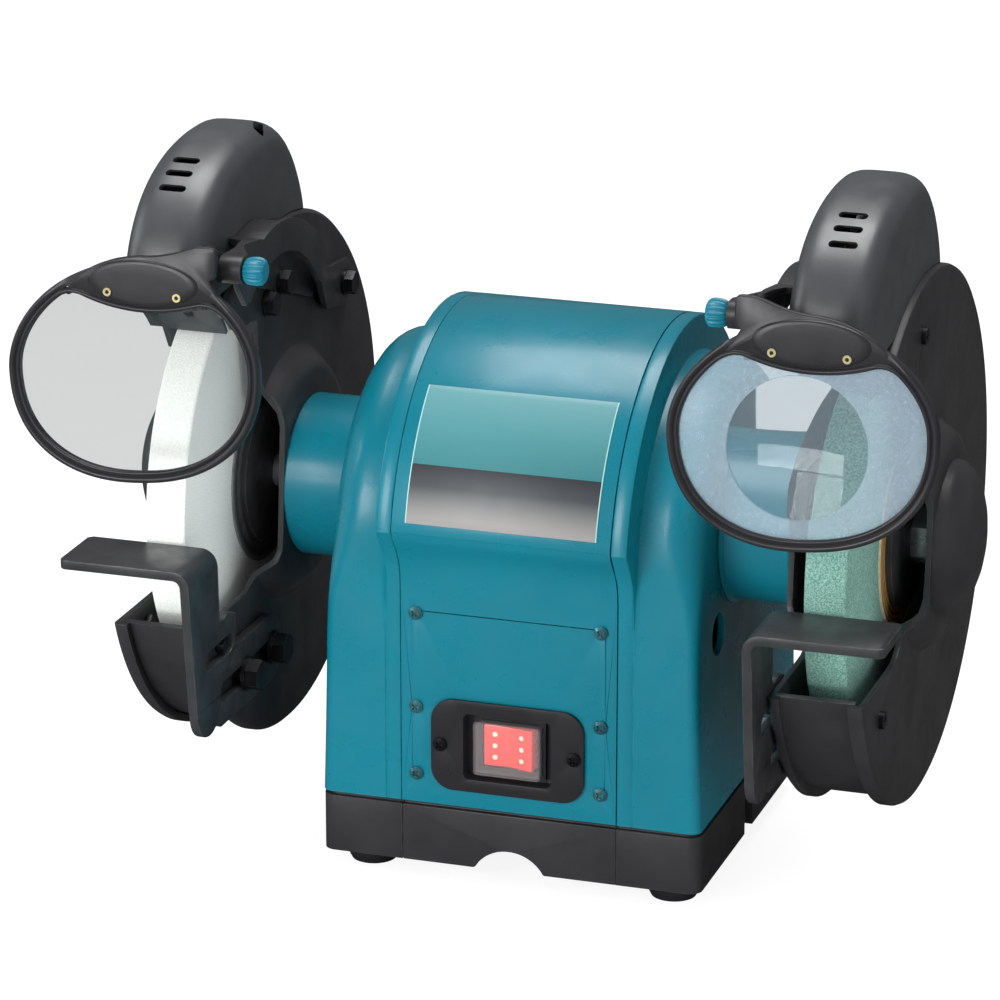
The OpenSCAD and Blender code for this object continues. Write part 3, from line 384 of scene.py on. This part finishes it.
def make_materials():
    finished = {}
    for surface in (
        teal_paint(), black_paint(),
        moulded("rubber", srgb(30, 30, 32), 0.75, 0.3, Specular_IOR_Level=0.25),
        steel("teal_zinc", srgb(88, 152, 164), 0.34, srgb(170, 200, 205)),
        moulded("black_plastic", srgb(34, 34, 37), 0.33, 0.14, Specular_IOR_Level=0.4),
        steel("black_screw", srgb(50, 50, 53), 0.36, srgb(120, 120, 122)),
        # painted glow: the red plastic gets a faint emission so it looks brighter, though the switch is not lit
        moulded("red_plastic", srgb(228, 52, 44), 0.28, 0.04, Coat_Weight=0.2, Emission_Color=(*srgb(232, 66, 56), 1),
                Emission_Strength=0.1),
        clear("clear_plastic", srgb(225, 215, 215), 0.08, 0.15, 0.25),
        badge_foil(), laminated("lamination", srgb(120, 124, 127)),
        steel("copper_wire", srgb(176, 98, 44), 0.3, None, (40, 1, 1)),
        steel("zinc", srgb(168, 171, 173), 0.3, srgb(214, 216, 217)),
        moulded("capacitor_case", srgb(54, 58, 62), 0.35), moulded("cream_plastic", srgb(216, 208, 190), 0.45),
        moulded("gland_rubber", srgb(32, 32, 34), 0.6, 0.2), steel("bearing_steel", srgb(182, 185, 188), 0.22),
        steel("cast_aluminium", srgb(190, 193, 196), 0.45),
        abrasive("white_abrasive", srgb(240, 243, 239), srgb(222, 227, 223)),
        abrasive("green_abrasive", srgb(132, 170, 158), srgb(84, 126, 116)),
        moulded("bush_plastic", srgb(218, 218, 212), 0.5), blotter_paper(),
        steel("blued_steel", srgb(62, 63, 65), 0.42, srgb(150, 148, 148), metallic=0.45),
        moulded("hood_plastic", srgb(56, 58, 61), 0.38, 0.22, Specular_IOR_Level=0.8),
        moulded("socket_ceramic", srgb(228, 224, 215), 0.25, 0.05),
        clear("bulb_glass", srgb(250, 240, 205), 0.5, 0.1),
        clear("lens_clear", srgb(70, 82, 84), 0.09, 0.08, 0.2), blue_lens(), magnifier_glass(),
        steel("rivet_brass", srgb(196, 186, 140), 0.42, None, (1, 1, 1)),
        moulded("knob_plastic", srgb(12, 108, 130), 0.34, 0.06, Coat_Weight=0.08),
    ):
        finished[surface.slot] = surface.material
    return finished


# ------------------------------------------------------------------ mesh building

def at(x, y, z, side=1):
    """Millimetres from the spindle's middle, as a place in the frame of the part."""
    return SPINDLE + Vector((side * x, y, z)) * MM


class Shape:
    """Vertices in millimetres from the spindle's middle, right-hand side, and faces."""

    def __init__(self):
        self.points, self.faces = [], []

    def loft(self, rings, closed=True, caps=True):
        first, count = len(self.points), len(rings[0])
        for ring in rings:
            self.points += [tuple(p) for p in ring]
        for i in range(len(rings) - 1):
            for j in range(count if closed else count - 1):
                a, b = first + i * count + j, first + i * count + (j + 1) % count
                self.faces.append((a, b, b + count, a + count))
        if caps:
            self.faces.append(tuple(range(first, first + count)))
            self.faces.append(tuple(range(first + (len(rings) - 1) * count, first + len(rings) * count)))
        return self

    def prism(self, outline, place, low, high, edge=0.0):
        """An outline of (u, v) carried from depth low to high by place(u, v, depth), its edges eased by edge."""
        if not edge:
            return self.loft([[place(u, v, d) for u, v in outline] for d in (low, high)])
        small = inset(outline, edge)
        tiny = inset(outline, edge * 0.3)
        return self.loft([[place(u, v, d) for u, v in ring] for ring, d in (
            (small, low), (tiny, low + edge * 0.3), (outline, low + edge), (outline, high - edge),
            (tiny, high - edge * 0.3), (small, high))])

    def turned(self, profile, centre=(0.0, 0.0), steps=96, ripple=None):
        """Profile of (radius, x) turned about an axis along X; ripple(angle, index) scales the radius."""
        rings = []
        for k, (radius, x) in enumerate(profile):
            ring = []
            for s in range(steps):
                a = math.tau * s / steps
                r = radius + (ripple(a, k) if ripple else 0)
                ring.append((x, centre[0] + r * math.cos(a), centre[1] + r * math.sin(a)))
            rings.append(ring)
        return self.loft(rings)

    def sweep(self, path, section, normals, place):
        """A closed section of (offset, depth) carried round a closed path of (u, v)."""
        rings = [[place(p[0] + n[0] * o, p[1] + n[1] * o, d) for o, d in section] for p, n in zip(path, normals)]
        return self.loft(rings + [rings[0]], caps=False)


def path_normals(path):
    """Unit normals to the left of a closed path."""
    normals = []
    for i in range(len(path)):
        before, after = path[i - 1], path[(i + 1) % len(path)]
        du, dv = after[0] - before[0], after[1] - before[1]
        size = math.hypot(du, dv) or 1.0
        normals.append((-dv / size, du / size))
    return normals


def turning(path):
    return sum(path[i - 1][0] * path[i][1] - path[i][0] * path[i - 1][1] for i in range(len(path)))


def inset(outline, distance):
    """The outline moved inward by distance."""
    sign = 1 if turning(outline) > 0 else -1
    return [(u + sign * n[0] * distance, v + sign * n[1] * distance)
            for (u, v), n in zip(outline, path_normals(outline))]


def bezier(a, b, c, d, count):
    """Points along a cubic curve, without its last one."""
    points = []
    for i in range(count):
        t = i / count
        points.append(tuple((1 - t) ** 3 * p + 3 * (1 - t) ** 2 * t * q + 3 * (1 - t) * t * t * r + t ** 3 * s
                            for p, q, r, s in zip(a, b, c, d)))
    return points


def arc(centre, radius, start, end, count):
    """Points on an arc between two directions in degrees, both ends included."""
    angles = [math.radians(start + (end - start) * i / count) for i in range(count + 1)]
    return [(centre[0] + radius * math.cos(a), centre[1] + radius * math.sin(a)) for a in angles]


def rounded(outline, radius, steps=4):
    """The outline with every corner rounded off."""
    points = []
    for i, corner in enumerate(outline):
        here = Vector(corner)
        before, after = Vector(outline[i - 1]) - here, Vector(outline[(i + 1) % len(outline)]) - here
        reach = min(radius, before.length * 0.45, after.length * 0.45)
        a, b = here + before.normalized() * reach, here + after.normalized() * reach
        for k in range(steps + 1):
            t = k / steps
            points.append(tuple(a * (1 - t) ** 2 + here * 2 * t * (1 - t) + b * t * t))
    return points


def mesh_of(shape, name, side=1):
    mesh = bpy.data.meshes.new(name)
    mesh.from_pydata([at(*p, side) for p in shape.points], [], shape.faces)
    build = bmesh.new()
    build.from_mesh(mesh)
    bmesh.ops.remove_doubles(build, verts=build.verts, dist=0.000005)
    bmesh.ops.recalc_face_normals(build, faces=build.faces)
    build.to_mesh(mesh)
    build.free()
    return mesh


def baked(obj):
    """Turns an object's modifiers into its mesh."""
    bpy.context.view_layer.update()
    whole = bpy.data.meshes.new_from_object(obj.evaluated_get(bpy.context.evaluated_depsgraph_get()))
    obj.modifiers.clear()
    obj.data = whole
    return obj


def carve(obj, cutters, side):
    """Takes the cutter shapes out of the object."""
    removed = []
    for shape in cutters:
        cutter = bpy.data.objects.new("cutter", mesh_of(shape, "cutter", side))
        bpy.context.scene.collection.objects.link(cutter)
        cut = obj.modifiers.new("cut", "BOOLEAN")
        cut.operation, cut.solver, cut.object = "DIFFERENCE", "EXACT", cutter
        removed.append(cutter)
    baked(obj)
    for cutter in removed:
        bpy.data.objects.remove(cutter)


def add_piece(name, shape, slot, body, side=1, node=None, cutters=(), wall=0.0, ease=0.0, angle=32):
    """Makes a piece that rides a body and, where a node is named, stands for that CAD node."""
    obj = bpy.data.objects.new(name, mesh_of(shape, name, side))
    bpy.context.scene.collection.objects.link(obj)
    if wall:
        shell = obj.modifiers.new("wall", "SOLIDIFY")
        shell.thickness, shell.offset, shell.use_even_offset = wall * MM, -1, True
        baked(obj)
    if cutters:
        carve(obj, cutters, side)
    if ease:
        bevel = obj.modifiers.new("eased_edges", "BEVEL")
        bevel.width, bevel.segments, bevel.limit_method = ease * MM, 2, "ANGLE"
        bevel.angle_limit = math.radians(40)
        baked(obj)
    obj.data.polygons.foreach_set("use_smooth", [True] * len(obj.data.polygons))
    obj.data.set_sharp_from_angle(angle=math.radians(angle))
    obj.data.materials.clear()
    obj.data.materials.append(MATERIALS[slot])
    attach(obj, body)
    if node:
        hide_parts(node)
    return obj


# ------------------------------------------------------------------ carried-over CAD nodes

def smoothing_group(limit=math.radians(28)):
    """Nodes that shade soft across shallow edges and keep the sharp ones."""
    group = bpy.data.node_groups.new("smooth_by_angle", "GeometryNodeTree")
    group.interface.new_socket("Geometry", in_out="INPUT", socket_type="NodeSocketGeometry")
    group.interface.new_socket("Geometry", in_out="OUTPUT", socket_type="NodeSocketGeometry")
    nodes, links = group.nodes, group.links
    start, end = nodes.new("NodeGroupInput"), nodes.new("NodeGroupOutput")
    clean = nodes.new("GeometryNodeRemoveAttribute")
    clean.inputs["Name"].default_value = "custom_normal"
    soft, hard = nodes.new("GeometryNodeSetShadeSmooth"), nodes.new("GeometryNodeSetShadeSmooth")
    soft.domain, hard.domain = "FACE", "EDGE"
    soft.inputs["Shade Smooth"].default_value = True
    hard.inputs["Shade Smooth"].default_value = False
    angle = nodes.new("GeometryNodeInputMeshEdgeAngle")
    above = nodes.new("FunctionNodeCompare")
    above.data_type, above.operation = "FLOAT", "GREATER_THAN"
    above.inputs["B"].default_value = limit
    links.new(angle.outputs["Unsigned Angle"], above.inputs["A"])
    links.new(start.outputs[0], clean.inputs["Geometry"])
    links.new(clean.outputs["Geometry"], soft.inputs["Geometry"])
    links.new(soft.outputs["Geometry"], hard.inputs["Geometry"])
    links.new(above.outputs["Result"], hard.inputs["Selection"])
    links.new(hard.outputs["Geometry"], end.inputs[0])
    return group


# Bevel on the edges of CAD nodes, in millimetres; a left and right pair shares one name
EASED = {"base_block": 0.8, "motor_shell": 0.5, "guard_cover": 0.7, "guard": 0.5, "tool_rest": 0.6,
         "switch_bezel": 0.6, "shield_bracket": 0.5, "wheel": 0.5, "rubber_feet": 0.8, "spark_arrester": 0.3,
         "base_centre_pan": 0.6, "wheel_nuts": 0.4, "badge_plate": 0.1, "cable_gland": 0.4}


def dress_nodes():
    """Gives every CAD node its material, soft shading and, on the larger parts, eased edges."""
    smooth = smoothing_group()
    for name, obj in frame["nodes"].items():
        slot = obj.data.materials[0].name.split(".")[0]
        obj.data.materials[0] = MATERIALS[slot]
        weld = obj.modifiers.new("weld", "WELD")
        weld.merge_threshold = 0.000004
        ease = EASED.get(name.rsplit("_", 1)[0] if name.endswith(("_left", "_right")) else name)
        if ease:
            bevel = obj.modifiers.new("eased_edges", "BEVEL")
            bevel.width, bevel.segments, bevel.limit_method = ease * MM, 2, "ANGLE"
            bevel.angle_limit = math.radians(42)
        shading = obj.modifiers.new("smooth_by_angle", "NODES")
        shading.node_group = smooth


# ------------------------------------------------------------------ motor end housings

ARCH_Z, LIP_Z, ARCH_R, HALF_DEPTH, FOOT_Z = -13.5, 5.0, 100.5, 86.0, -129.0
SEAM_X, RIM_X, BELL_R, BELL_X, NECK_R, NECK_END = 51.5, 59.4, 83.0, 88.2, 38.0, 121.0
LEDGE = [(98.66, LIP_Z + 0.4), (98.1, -2.0), (HALF_DEPTH, -6.0), (HALF_DEPTH, -24.0)]
VENT_Y, VENT_Z, VENT_R = -37.5, -44.5, 10.0
BORE_R, WALL = 24, 3.0


def ramp(value, start, end):
    return min(1.0, max(0.0, (value - start) / (end - start)))


def ledge_depth(z):
    """Half depth of the motor's outline under the arch."""
    if z <= LEDGE[3][1]:
        return HALF_DEPTH
    low, high = 0.0, 1.0
    for _ in range(30):
        t = (low + high) / 2
        depth, height = (sum(w * p[k] for w, p in zip(
            ((1 - t) ** 3, 3 * (1 - t) ** 2 * t, 3 * (1 - t) * t * t, t ** 3), LEDGE)) for k in (0, 1))
        low, high = (t, high) if height > z else (low, t)
    return depth


def shell_reach(angle, height):
    """How far the motor's outline lies along a direction from the bell's own centre."""
    reach = math.sqrt(ARCH_R ** 2 - (0.5 * math.cos(angle)) ** 2) - 0.5 * math.sin(angle)
    if height + reach * math.sin(angle) >= LIP_Z:
        return reach
    for _ in range(12):
        reach = ledge_depth(height + reach * math.sin(angle)) / max(0.2, math.cos(angle))
    return reach


def housing_stations():
    """Places round the outline: (centre height, direction, reach of the bell, reach of the rim)."""
    legs = [FOOT_Z, -121, -108, -92, -76, -62, -52, -46, -40, -35, -30, -26, -22, -17.5]
    half = [(z, 0.0, 83 + 3 * ramp(z, -13, -50), ledge_depth(z)) for z in legs]
    for step in range(0, 19):
        angle = math.radians(5 * step)
        half.append((ARCH_Z + 0.5, angle, BELL_R, shell_reach(angle, ARCH_Z + 0.5)))
    front = [(z, -math.cos(a), math.sin(a), bell, rim) for z, a, bell, rim in half]
    rear = [(z, math.cos(a), math.sin(a), bell, rim) for z, a, bell, rim in reversed(half[:-1])]
    return front + rear


def end_housing(side_name, side):
    stations = housing_stations()

    def row(x_of, reach_of):
        points = []
        for z, dy, dz, bell, rim in stations:
            reach = reach_of(bell, rim, z + bell * dz)
            points.append((x_of(z + bell * dz), BODY_Y + dy * reach, z + dz * reach))
        return points

    def softness(z):
        t = ramp(z, -40, 10)
        return 5 + 11.5 * t * t * (3 - 2 * t)

    def wall(z):
        return BELL_X + 2.6 * ramp(-z, 10, 129) ** 1.5

    rows = [row(lambda z: SEAM_X + 0.15, lambda bell, rim, z: rim - 0.9),
            row(lambda z: SEAM_X + 0.45, lambda bell, rim, z: rim - 0.25),
            row(lambda z: SEAM_X + 1.1, lambda bell, rim, z: rim),
            row(lambda z: RIM_X - 1.6, lambda bell, rim, z: rim),
            row(lambda z: RIM_X - 0.5, lambda bell, rim, z: rim - 0.45),
            row(lambda z: RIM_X, lambda bell, rim, z: rim - min(1.6, (rim - bell) * 0.5)),
            row(lambda z: RIM_X + 0.05, lambda bell, rim, z: bell + min(2.2, (rim - bell) * 0.4)),
            row(lambda z: RIM_X + 0.8, lambda bell, rim, z: bell + min(0.6, (rim - bell) * 0.2)),
            row(lambda z: RIM_X + 2.4, lambda bell, rim, z: bell)]
    for turn in range(0, 100, 10):
        a = math.radians(turn)
        rows.append(row(lambda z: wall(z) - softness(z) * (1 - math.sin(a)),
                        lambda bell, rim, z: bell - softness(z) * (1 - math.cos(a))))
    shape = Shape().loft(rows, closed=False, caps=False)
    last, count = len(shape.points) - len(stations), len(stations)
    for i in range(count // 2):
        a, b = last + i, last + count - 1 - i
        shape.faces.append((a, a + 1, b - 1, b) if a + 1 < b - 1 else (a, a + 1, b))
    vent = Shape().turned([(VENT_R, 70), (VENT_R, 99)], (VENT_Y, VENT_Z), 48)
    bore = Shape().turned([(BORE_R, 70), (BORE_R, 99)], steps=64)
    add_piece(f"end_housing_{side_name}_shell", shape, "teal_paint", "machine", side,
              f"end_housing_{side_name}", [vent, bore], wall=WALL, angle=40)
    tube = Shape().turned([(28, 84.6), (35, 84.6), (NECK_R, 86), (NECK_R, 88.4), (NECK_R + 1.5, 88.5),
                           (NECK_R + 1.7, 89.2), (NECK_R + 1.0, 90.1), (NECK_R + 0.2, 90.8), (NECK_R, 91.8),
                           (NECK_R, NECK_END - 0.8), (NECK_R - 0.6, NECK_END), (13.4, NECK_END),
                           (13.4, NECK_END - 4), (28, NECK_END - 4), (28, 84.6)], steps=128)
    tube.faces = tube.faces[:-2]
    add_piece(f"end_housing_{side_name}_neck", tube, "teal_paint", "machine", side, f"end_housing_{side_name}")


# ------------------------------------------------------------------ lamp hoods

HOOD_MID, HOOD_HALF, HOOD_EDGE, HOOD_TOP = 152.75, 19.25, 13.0, 171.25


def hood_outline(k, floor=0.0):
    """Side view of the hood, drawn in by k; floor lowers its open underside."""
    return (bezier((36.3 - k, 119 + 0.2 * k), (34 - k, 132), (19 - k, HOOD_TOP - k), (-20, HOOD_TOP - k), 22)
            + bezier((-20, HOOD_TOP - k), (-21, HOOD_TOP - k), (-23, HOOD_TOP - k), (-24, HOOD_TOP - k), 2)
            + bezier((-24, HOOD_TOP - k), (-62, HOOD_TOP - k), (-96 + k, 158 - k), (-106 + k, 128 - 0.3 * k), 26)
            + [(-106 + k, 128 - 0.3 * k), (-109.5 + k, 116 - floor), (-112 + k, 106.5 - floor), (-60, 108.5 - floor),
               (-12, 113 - floor), (36.3 - k, 115 - floor)])


def hood_shape(t, floor=0.0):
    half, rings = HOOD_HALF - t, []
    for i in range(29):
        f = math.sin(math.radians(-90 + 180 * i / 28))
        k = t + HOOD_EDGE * (1 - math.sqrt(1 - min(abs(f), 0.998) ** 4))
        rings.append([(HOOD_MID + f * half, y, z) for y, z in hood_outline(k, floor)])
    return Shape().loft(rings)


def tilted_box(centre, size, tilt, turn=0.0):
    """A box with round ends along X, tilted about X and then turned about Z (degrees)."""
    spin = Matrix.Rotation(math.radians(turn), 3, "Z") @ Matrix.Rotation(math.radians(tilt), 3, "X")
    long, deep, high = (s / 2 for s in size)
    ends = arc((long - high, 0), high, -90, 90, 6) + arc((high - long, 0), high, 90, 270, 6)
    return Shape().prism(ends, lambda u, v, d: tuple(Vector(centre) + spin @ Vector((u, d, v))), -deep, deep)


def lamp_hood(side_name, side):
    hollow, over_guard = hood_shape(2.5, 30), Shape().turned([(123.5, 120), (123.5, 185)], steps=160)
    front_slots = [tilted_box((154.2, y, z), (13, 14, 3.6), -32) for y, z in ((-68, 165), (-76.5, 161), (-84.5, 156))]
    cutters = [hollow, over_guard, *front_slots, tilted_box((139.5, -15, 168), (14, 14, 4.6), -90, 68)]
    add_piece(f"lamp_hood_{side_name}_cover", hood_shape(0), "hood_plastic", "machine", side,
              f"lamp_hood_{side_name}", cutters, angle=38)


# ------------------------------------------------------------------ eye shields

LENS_X, LENS_H, LENS_RX, LENS_TOP, LENS_LOW, RING_W = {"left": 156.0, "right": 149.5}, -34.4, 59.7, 48.5, 51.0, 5.3
LENS_TURN = math.radians(4.5)
BROW_CENTRE, BROW_R = (152.0, 76.6), 84.6
SHIELD_Y, SHIELD_Z, SHIELD_LEAN = -125.5, 118.0, math.radians(5.8)


def on_shield(x, h, d):
    """A place on the shield: across, height above the rivets, depth toward the wheel."""
    return (x, SHIELD_Y + d * math.cos(SHIELD_LEAN) + h * math.sin(SHIELD_LEAN),
            SHIELD_Z - d * math.sin(SHIELD_LEAN) + h * math.cos(SHIELD_LEAN))


def shield_oval(side_name, t, count=144):
    """The shield's outline, drawn in by t: fuller below than above, and turned a little in its own plane."""
    points, turn = [], SIDES[side_name] * LENS_TURN
    for i in range(count):
        a = math.tau * i / count
        c, s = math.cos(a), math.sin(a)
        power, rz = (1.06, LENS_TOP) if s > 0 else (0.88, LENS_LOW)
        u = (LENS_RX - t) * math.copysign(abs(c) ** power, c)
        v = (rz - t) * math.copysign(abs(s) ** power, s)
        points.append((LENS_X[side_name] + u * math.cos(turn) - v * math.sin(turn),
                       LENS_H + u * math.sin(turn) + v * math.cos(turn)))
    return points


def started_at_gap(points):
    """The run of points with its longest gap put at the ends."""
    start = max(range(len(points)), key=lambda i: math.dist(points[i], points[i - 1]))
    return points[start:] + points[:start]


def lens_outline(side_name):
    """Opening of the frame: the ring's inside under the brow, its two corners softened."""
    outer = started_at_gap([p for p in shield_oval(side_name, RING_W)
                            if math.dist(p, BROW_CENTRE) > BROW_R and p[1] < 12])
    ends = [math.degrees(math.atan2(p[1] - BROW_CENTRE[1], p[0] - BROW_CENTRE[0])) for p in (outer[-1], outer[0])]
    path = outer[1:-1] + arc(BROW_CENTRE, BROW_R, ends[0] % -360, ends[1] % -360, 28)[1:-1]
    for _ in range(3):
        path = [tuple((path[i - 1][k] + 2 * p[k] + path[(i + 1) % len(path)][k]) / 4 for k in (0, 1))
                for i, p in enumerate(path)]
    return path


def brow_outline():
    top = [(117.8, 9), (117.8, 23.4), (127, 23.3), (131, 22), (138.5, 19.3), (148, 17.3), (157, 16.8), (166, 14.9),
           (174.6, 11.6), (182, 7.2), (186.8, 2.6), (189.4, -2.4), (187.9, -3.2)]
    lower = arc(BROW_CENTRE, BROW_R + 0.3, -66, -114, 20)
    return rounded(top, 3.0, 3) + lower + rounded([(114.6, -3.4), (113.2, -2.2), (117.2, 3)], 1.5, 2)


# Cut through the ring and through the lip round the opening: (distance inward or outward, depth)
RING_SECTION = [(0.0, -1.6), (0.35, -2.5), (1.0, -3.0), (1.9, -3.0), (2.6, -2.5), (3.0, -1.9), (3.4, -1.7),
                (3.4, 1.8), (3.0, 2.6), (2.2, 3.0), (0.9, 3.0), (0.2, 2.4), (0.0, 1.6)]
LIP_SECTION = [(0.0, -1.2), (0.25, -2.2), (0.9, -2.6), (1.5, -2.5), (2.1, -1.9), (2.6, -1.2), (2.6, 1.4),
               (1.6, 1.8), (0.8, 1.8), (0.1, 1.4)]


def shield_frame(side_name, side):
    shape = Shape()
    oval = shield_oval(side_name, 0, 216)
    inward = dict(zip(oval, path_normals(oval)))
    rings = []
    for p in started_at_gap([p for p in oval if p[1] < 1.0 or not 124 < p[0] < 176]):
        sink = ramp(p[1], -3, 4)
        rings.append([on_shield(p[0] + inward[p][0] * o, p[1] + inward[p][1] * o,
                                d * (1 - sink) + sink * max(-1.5, min(1.7, d))) for o, d in RING_SECTION])
    shape.loft(rings, caps=False)
    first, count = len(shape.points) - len(rings) * len(RING_SECTION), len(RING_SECTION)
    shape.faces += [tuple(range(first, first + count)), tuple(range(len(shape.points) - count, len(shape.points)))]
    lip_path = lens_outline(side_name)
    sign = -1 if turning(lip_path) > 0 else 1
    outward = [(sign * u, sign * v) for u, v in path_normals(lip_path)]
    shape.sweep(lip_path, LIP_SECTION, outward, on_shield)
    shape.prism(brow_outline(), on_shield, -1.6, 1.8, 0.7)
    pad = [[on_shield(152 + 26.3 * s * math.cos(math.tau * i / 72), 5 + 10.4 * s * math.sin(math.tau * i / 72), d)
            for i in range(72)]
           for s, d in ((1.0, -1.4), (0.985, -1.9), (0.955, -2.35), (0.92, -2.6), (0.8, -2.72), (0.4, -2.8))]
    shape.loft(pad)
    hinge = arc((HINGE_Y, HINGE_Z), 7.3, -85, 60, 14)
    ear = rounded([(-125.6, 112), (-122.6, 141.2), (-113, 139.3)], 2.0, 3) + hinge[::-1] + [(-118, 114)]
    shape.prism(ear, lambda u, v, d: (d, u, v), 122.2, 125.0, 0.5)
    body = f"eye_shield_{side_name}"
    add_piece(f"shield_frame_{side_name}_moulding", shape, "black_plastic", body, side, f"shield_frame_{side_name}",
              angle=48)


def magnifier():
    """Flat-fronted lens with a domed back, against the inside of the right-hand shield."""
    centre, radius, front, rim, dome, steps = (147.5, -40.8), 31.4, 0.75, 1.5, 4.7, 120
    curve = (radius ** 2 + (dome - rim) ** 2) / (2 * (dome - rim))
    profile = [(0.4 * radius, front), (0.9 * radius, front), (radius - 0.15, front), (radius, front + 0.15),
               (radius, rim - 0.05)]
    profile += [(r, dome - curve + math.sqrt(curve ** 2 - r ** 2)) for r in
                (radius * math.cos(math.radians(3.7 * i + 2)) for i in range(24))]
    turns = [math.tau * i / steps for i in range(steps)]
    shape = Shape().loft([[on_shield(centre[0] + r * math.cos(a), centre[1] + r * math.sin(a), d) for a in turns]
                          for r, d in profile])
    add_piece("magnifier_glass_disc", shape, "magnifier_glass", "eye_shield_right", 1, "magnifier_lens", angle=30)


def shield_knob(side_name, side):
    lobes = 15

    def ripple(angle, row):
        return 0.0 if row < 3 or row > 11 else 0.42 * math.cos(lobes * angle) - 0.42

    profile = [(0.6, 101.2), (3.2, 101.0), (4.3, 101.1), (5.2, 101.6), (6.0, 102.3), (6.35, 103.3), (6.5, 104.5),
               (6.5, 106.0), (6.3, 107.6), (6.0, 108.9), (5.5, 109.9), (4.8, 110.4), (4.2, 110.6), (2.6, 110.6)]
    shape = Shape().turned(profile, (HINGE_Y, HINGE_Z), 120, ripple)
    shape.turned([(2.5, 110.4), (2.5, 127.3), (2.2, 127.5)], (HINGE_Y, HINGE_Z), 32)
    add_piece(f"shield_knob_{side_name}_grip", shape, "knob_plastic", f"shield_knob_{side_name}", side,
              f"shield_knob_{side_name}", angle=50)


# ------------------------------------------------------------------ switch

def rocker():
    """The rocker key in its off position, with six plain dots."""
    pivot = (Vector(JOINTS["rocker_tilt"]["pos_m"]) - SPINDLE) / MM
    spin = Matrix.Rotation(math.radians(-7), 3, "Z")

    def place(u, v, d):
        return tuple(pivot + spin @ Vector((u, v, 0)) + Vector((0, 0, d)))

    outline = rounded([(-12.1, -7.4), (-6, -6.3), (0, -5.4), (6, -6.3), (12.1, -7.4), (12.1, 1.5), (4, 7), (-4, 7),
                       (-12.1, 1.5)], 1.2, 3)
    key = Shape().prism(outline, place, -10, 10, 0.8)
    add_piece("switch_rocker_key", key, "red_plastic", "switch_rocker", 1, "switch_rocker", angle=40)
    dots, slope = Shape(), 2 / 12.1
    for u in (-6.6, 6.6):
        front = -5.4 - abs(u) * slope
        lean = math.copysign(slope, u)
        for d in (-5.6, 0.0, 5.6):
            ring = arc((0, 0), 1.15, 0, 345, 23)
            dots.loft([[place(u + p * scale, front - lean * p * scale - rise, d + q * scale) for p, q in ring]
                       for scale, rise in ((1.0, -0.3), (1.0, 0.06), (0.85, 0.12), (0.3, 0.12))])
    add_piece("switch_rocker_dots", dots, "cream_plastic", "switch_rocker", 1, "switch_rocker")


MATERIALS = make_materials()
add_camera()
add_studio()
dress_nodes()
for side_name, side in SIDES.items():
    end_housing(side_name, side)
    lamp_hood(side_name, side)
    shield_frame(side_name, side)
    shield_knob(side_name, side)
magnifier()
rocker()
